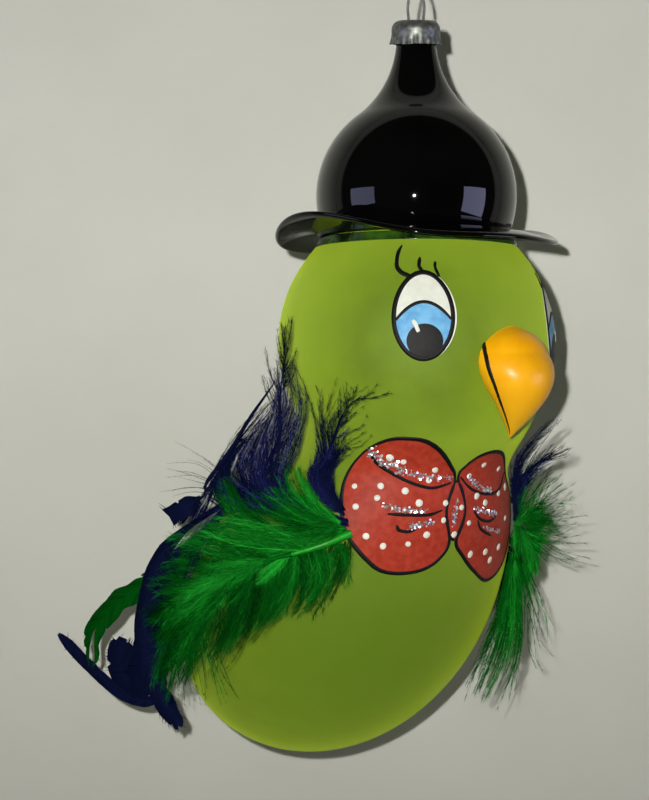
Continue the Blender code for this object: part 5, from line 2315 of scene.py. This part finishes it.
@dataclass
class Studio:
    """Camera, wall, floor and lights of the photo."""

    lens: float = 72.0
    sensor: float = 36.0
    distance: float = 400.0
    aside: float = 22.875
    eye_z: float = -103.0
    wall_depth: float = 118.0
    wall_z: float = -100.0
    wall_size: float = 900.0
    far_wall_size: float = 3000.0
    floor_z: float = -262.0
    floor_front: float = 170.0
    floor_size: float = 3000.0
    floor_fill: float = 0.2
    far_fill: float = 0.45
    patch: float = 55.6
    # Painted shade: along the plane's Y the paint darkens from the first place to the second, down to this
    # share
    painted_shade_top: float = 50.0
    painted_shade_low: float = -130.0
    painted_shade_share: float = 0.66
    fill_near: float = 250.0
    fill_far: float = 1000.0
    backdrop: float = 0.72
    room_behind: float = 0.4
    room_front: float = 0.03
    room_turn: Pair = (-0.15, -0.1)
    lamp_power: float = 6.2
    lamp_radius: float = 2.2
    lamp_aside: float = 12.0
    lamp_above: float = 11.0
    window_z: float = -60.0
    window_far: float = 900.0

    WINDOWS = (("left_window", -66.0, -2.0, (500.0, 270.0), 2.7),
               ("right_window", 66.0, -6.0, (480.0, 400.0), 4.2))
    TONES = ((0.3, "#f2f3e9"), (0.7, "#f8f9f0"))
    PALE = "#e9eae2"
    LAMP_COLOUR = "#fdfbf8"
    WINDOW_COLOUR = "#cdd0ff"

    def __post_init__(self) -> None:
        """Work out the photo's axes and the camera's place."""
        self.right = Vector((math.cos(VIEW_TURN), math.sin(VIEW_TURN), 0.0))
        self.front = Vector((math.sin(VIEW_TURN), -math.cos(VIEW_TURN), 0.0))
        self.eye = self.front * self.distance - self.right * self.aside + Vector((0.0, 0.0, self.eye_z))

    def camera(self) -> None:
        """Camera where the photo was taken."""
        data = bpy.data.cameras.new("photo_camera")
        data.lens = self.lens
        data.sensor_width = self.sensor
        data.clip_start = 0.01
        camera = bpy.data.objects.new("photo_camera", data)
        camera.location = self.eye * MM
        camera.rotation_euler = (-self.front).to_track_quat("-Z", "Y").to_euler()
        bpy.context.scene.collection.objects.link(camera)
        bpy.context.scene.camera = camera

    def paint(self, name: str, fill: float, bird: Vector) -> bpy.types.Material:
        """Pale matt paint, clear from behind and pale far from the lamp, with painted shade that darkens it
        along the plane's Y.

        Args:
            name: name of the material.
            fill: glow that the camera sees close to the bird.
            bird: place on the painted plane that the bird hangs nearest.

        Returns:
            The material.
        """
        material = bpy.data.materials.new(name)
        material.use_nodes = True
        tree = material.node_tree
        tree.nodes.clear()
        place = add(tree, "TexCoord")
        noise = add(tree, "TexNoise", {"Scale": 1.0 / (self.patch * MM), "Detail": 5.0},
                    Vector=place.outputs["Object"])
        tone = add(tree, "ValToRGB", {"ramp": self.TONES}, Fac=noise.outputs["Fac"])
        split = add(tree, "SeparateXYZ", Vector=place.outputs["Object"])
        # Painted shade: the paint darkens along the plane's Y, downwards on the wall
        painted_shade = add(tree, "MapRange",
                   {"From Min": self.painted_shade_top * MM, "From Max": self.painted_shade_low * MM,
                    "To Min": 1.0, "To Max": self.painted_shade_share},
                   Value=split.outputs["Y"])
        shade = add(tree, "VectorMath", {"operation": "SCALE"}, [tone.outputs["Color"]],
                    Scale=painted_shade.outputs["Result"])
        matt = add(tree, "BsdfDiffuse", Color=shade.outputs["Vector"])
        away = add(tree, "VectorMath", {"operation": "DISTANCE", 1: bird}, [place.outputs["Object"]])
        glow = add(tree, "MapRange",
                   {"From Min": self.fill_near * MM, "From Max": self.fill_far * MM,
                    "To Min": fill, "To Max": self.far_fill},
                   Value=away.outputs["Value"])
        ray = add(tree, "LightPath")
        seen = add(tree, "Math", {"operation": "MULTIPLY"},
                   [glow.outputs["Result"], ray.outputs["Is Camera Ray"]])
        pale = add(tree, "Emission", {"Color": linear(self.PALE)}, Strength=seen.outputs["Value"])
        lit = add(tree, "AddShader", {}, [matt.outputs[0], pale.outputs[0]])
        clear = add(tree, "BsdfTransparent")
        side = add(tree, "NewGeometry")
        mix = add(tree, "MixShader", {}, [side.outputs["Backfacing"], lit.outputs[0], clear.outputs[0]])
        add(tree, "OutputMaterial", Surface=mix.outputs[0])
        return material

    def stage(self) -> None:
        """Wall behind the bird and floor under it."""
        floor_back = self.floor_front - self.floor_size / 2
        wall_paint = self.paint("pale_wall_paint", 0.0, Vector((0.0, 0.0, 0.0)))
        floor_paint = self.paint("pale_floor_paint", self.floor_fill, Vector((0.0, floor_back * MM, 0.0)))
        upright = self.front.to_track_quat("Z", "Y").to_euler()
        level = (0.0, 0.0, VIEW_TURN)
        wall = Vector((0.0, 0.0, self.wall_z)) - self.front * self.wall_depth
        floor = self.front * floor_back + Vector((0.0, 0.0, self.floor_z))
        for name, spot, turn, size in (("wall", wall, upright, self.wall_size),
                                       ("far_wall", wall - self.front, upright, self.far_wall_size),
                                       ("floor", floor, level, self.floor_size)):
            bpy.ops.mesh.primitive_plane_add(size=size * MM, location=spot * MM, rotation=turn)
            plane = bpy.context.active_object
            plane.name = name
            plane.data.materials.append(floor_paint if name == "floor" else wall_paint)
            plane.visible_glossy = name == "wall"

    def window(self, name: str, spot: Vector, target: Vector, size: Pair, power: float) -> None:
        """Lit window that faces a target and lights nothing but gloss.

        Args:
            name: name of the window.
            spot: its place.
            target: what it faces.
            size: its width and height.
            power: its power in watts.
        """
        data = bpy.data.lights.new(name, "AREA")
        data.shape = "RECTANGLE"
        data.size = size[0] * MM
        data.size_y = size[1] * MM
        data.energy = power
        data.color = linear(self.WINDOW_COLOUR)[:3]
        lamp = bpy.data.objects.new(name, data)
        lamp.location = spot * MM
        lamp.rotation_euler = (target - spot).to_track_quat("-Z", "Y").to_euler()
        lamp.visible_diffuse = False
        bpy.context.scene.collection.objects.link(lamp)

    def lights(self) -> None:
        """Lamp beside the camera, and two windows that show only in gloss."""
        data = bpy.data.lights.new("camera_lamp", "POINT")
        data.energy = self.lamp_power
        data.shadow_soft_size = self.lamp_radius * MM
        data.color = linear(self.LAMP_COLOUR)[:3]
        lamp = bpy.data.objects.new("camera_lamp", data)
        lamp.location = (self.eye - self.right * self.lamp_aside + Vector((0.0, 0.0, self.lamp_above))) * MM
        bpy.context.scene.collection.objects.link(lamp)
        target = Vector((0.0, 0.0, self.window_z))
        for name, turn, rise, size, glow in self.WINDOWS:
            angle = math.radians(turn)
            way = self.front * math.cos(angle) + self.right * math.sin(angle)
            way.z = math.sin(math.radians(rise))
            power = math.pi * glow * size[0] * size[1] * MM * MM
            self.window(name, target + way * self.window_far, target, size, power)

    def room(self) -> None:
        """World: dim where the photographer stands, pale elsewhere, even to the camera."""
        world = bpy.data.worlds.new("room")
        bpy.context.scene.world = world
        world.use_nodes = True
        tree = world.node_tree
        tree.nodes.clear()
        place = add(tree, "TexCoord")
        facing = add(tree, "VectorMath", {"operation": "DOT_PRODUCT", 1: self.front},
                     [place.outputs["Generated"]])
        glow = add(tree, "MapRange",
                   {"From Min": self.room_turn[0], "From Max": self.room_turn[1],
                    "To Min": self.room_behind, "To Max": self.room_front},
                   Value=facing.outputs["Value"])
        ray = add(tree, "LightPath")
        strength = add(tree, "Mix", {"B": self.backdrop}, Factor=ray.outputs["Is Camera Ray"],
                       A=glow.outputs["Result"])
        back = add(tree, "Background", {"Color": linear(self.PALE)}, Strength=strength.outputs[0])
        add(tree, "OutputWorld", Surface=back.outputs[0])

    def dress(self) -> None:
        """Set up everything round the object."""
        self.camera()
        self.stage()
        self.lights()
        self.room()
        bpy.context.scene.view_settings.view_transform = "Standard"


def main() -> None:
    """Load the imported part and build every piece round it."""
    logging.basicConfig(level=logging.INFO, format="%(name)s %(message)s")
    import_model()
    Studio().dress()
    GlassBody().dress()
    Hat().dress()
    Cap().dress()
    Hanger().dress()
    Beak().dress()
    for side in Side:
        Eye(side).dress()
    BowTie().dress()
    Plumage().dress()


if __name__ == "__main__":
    main()
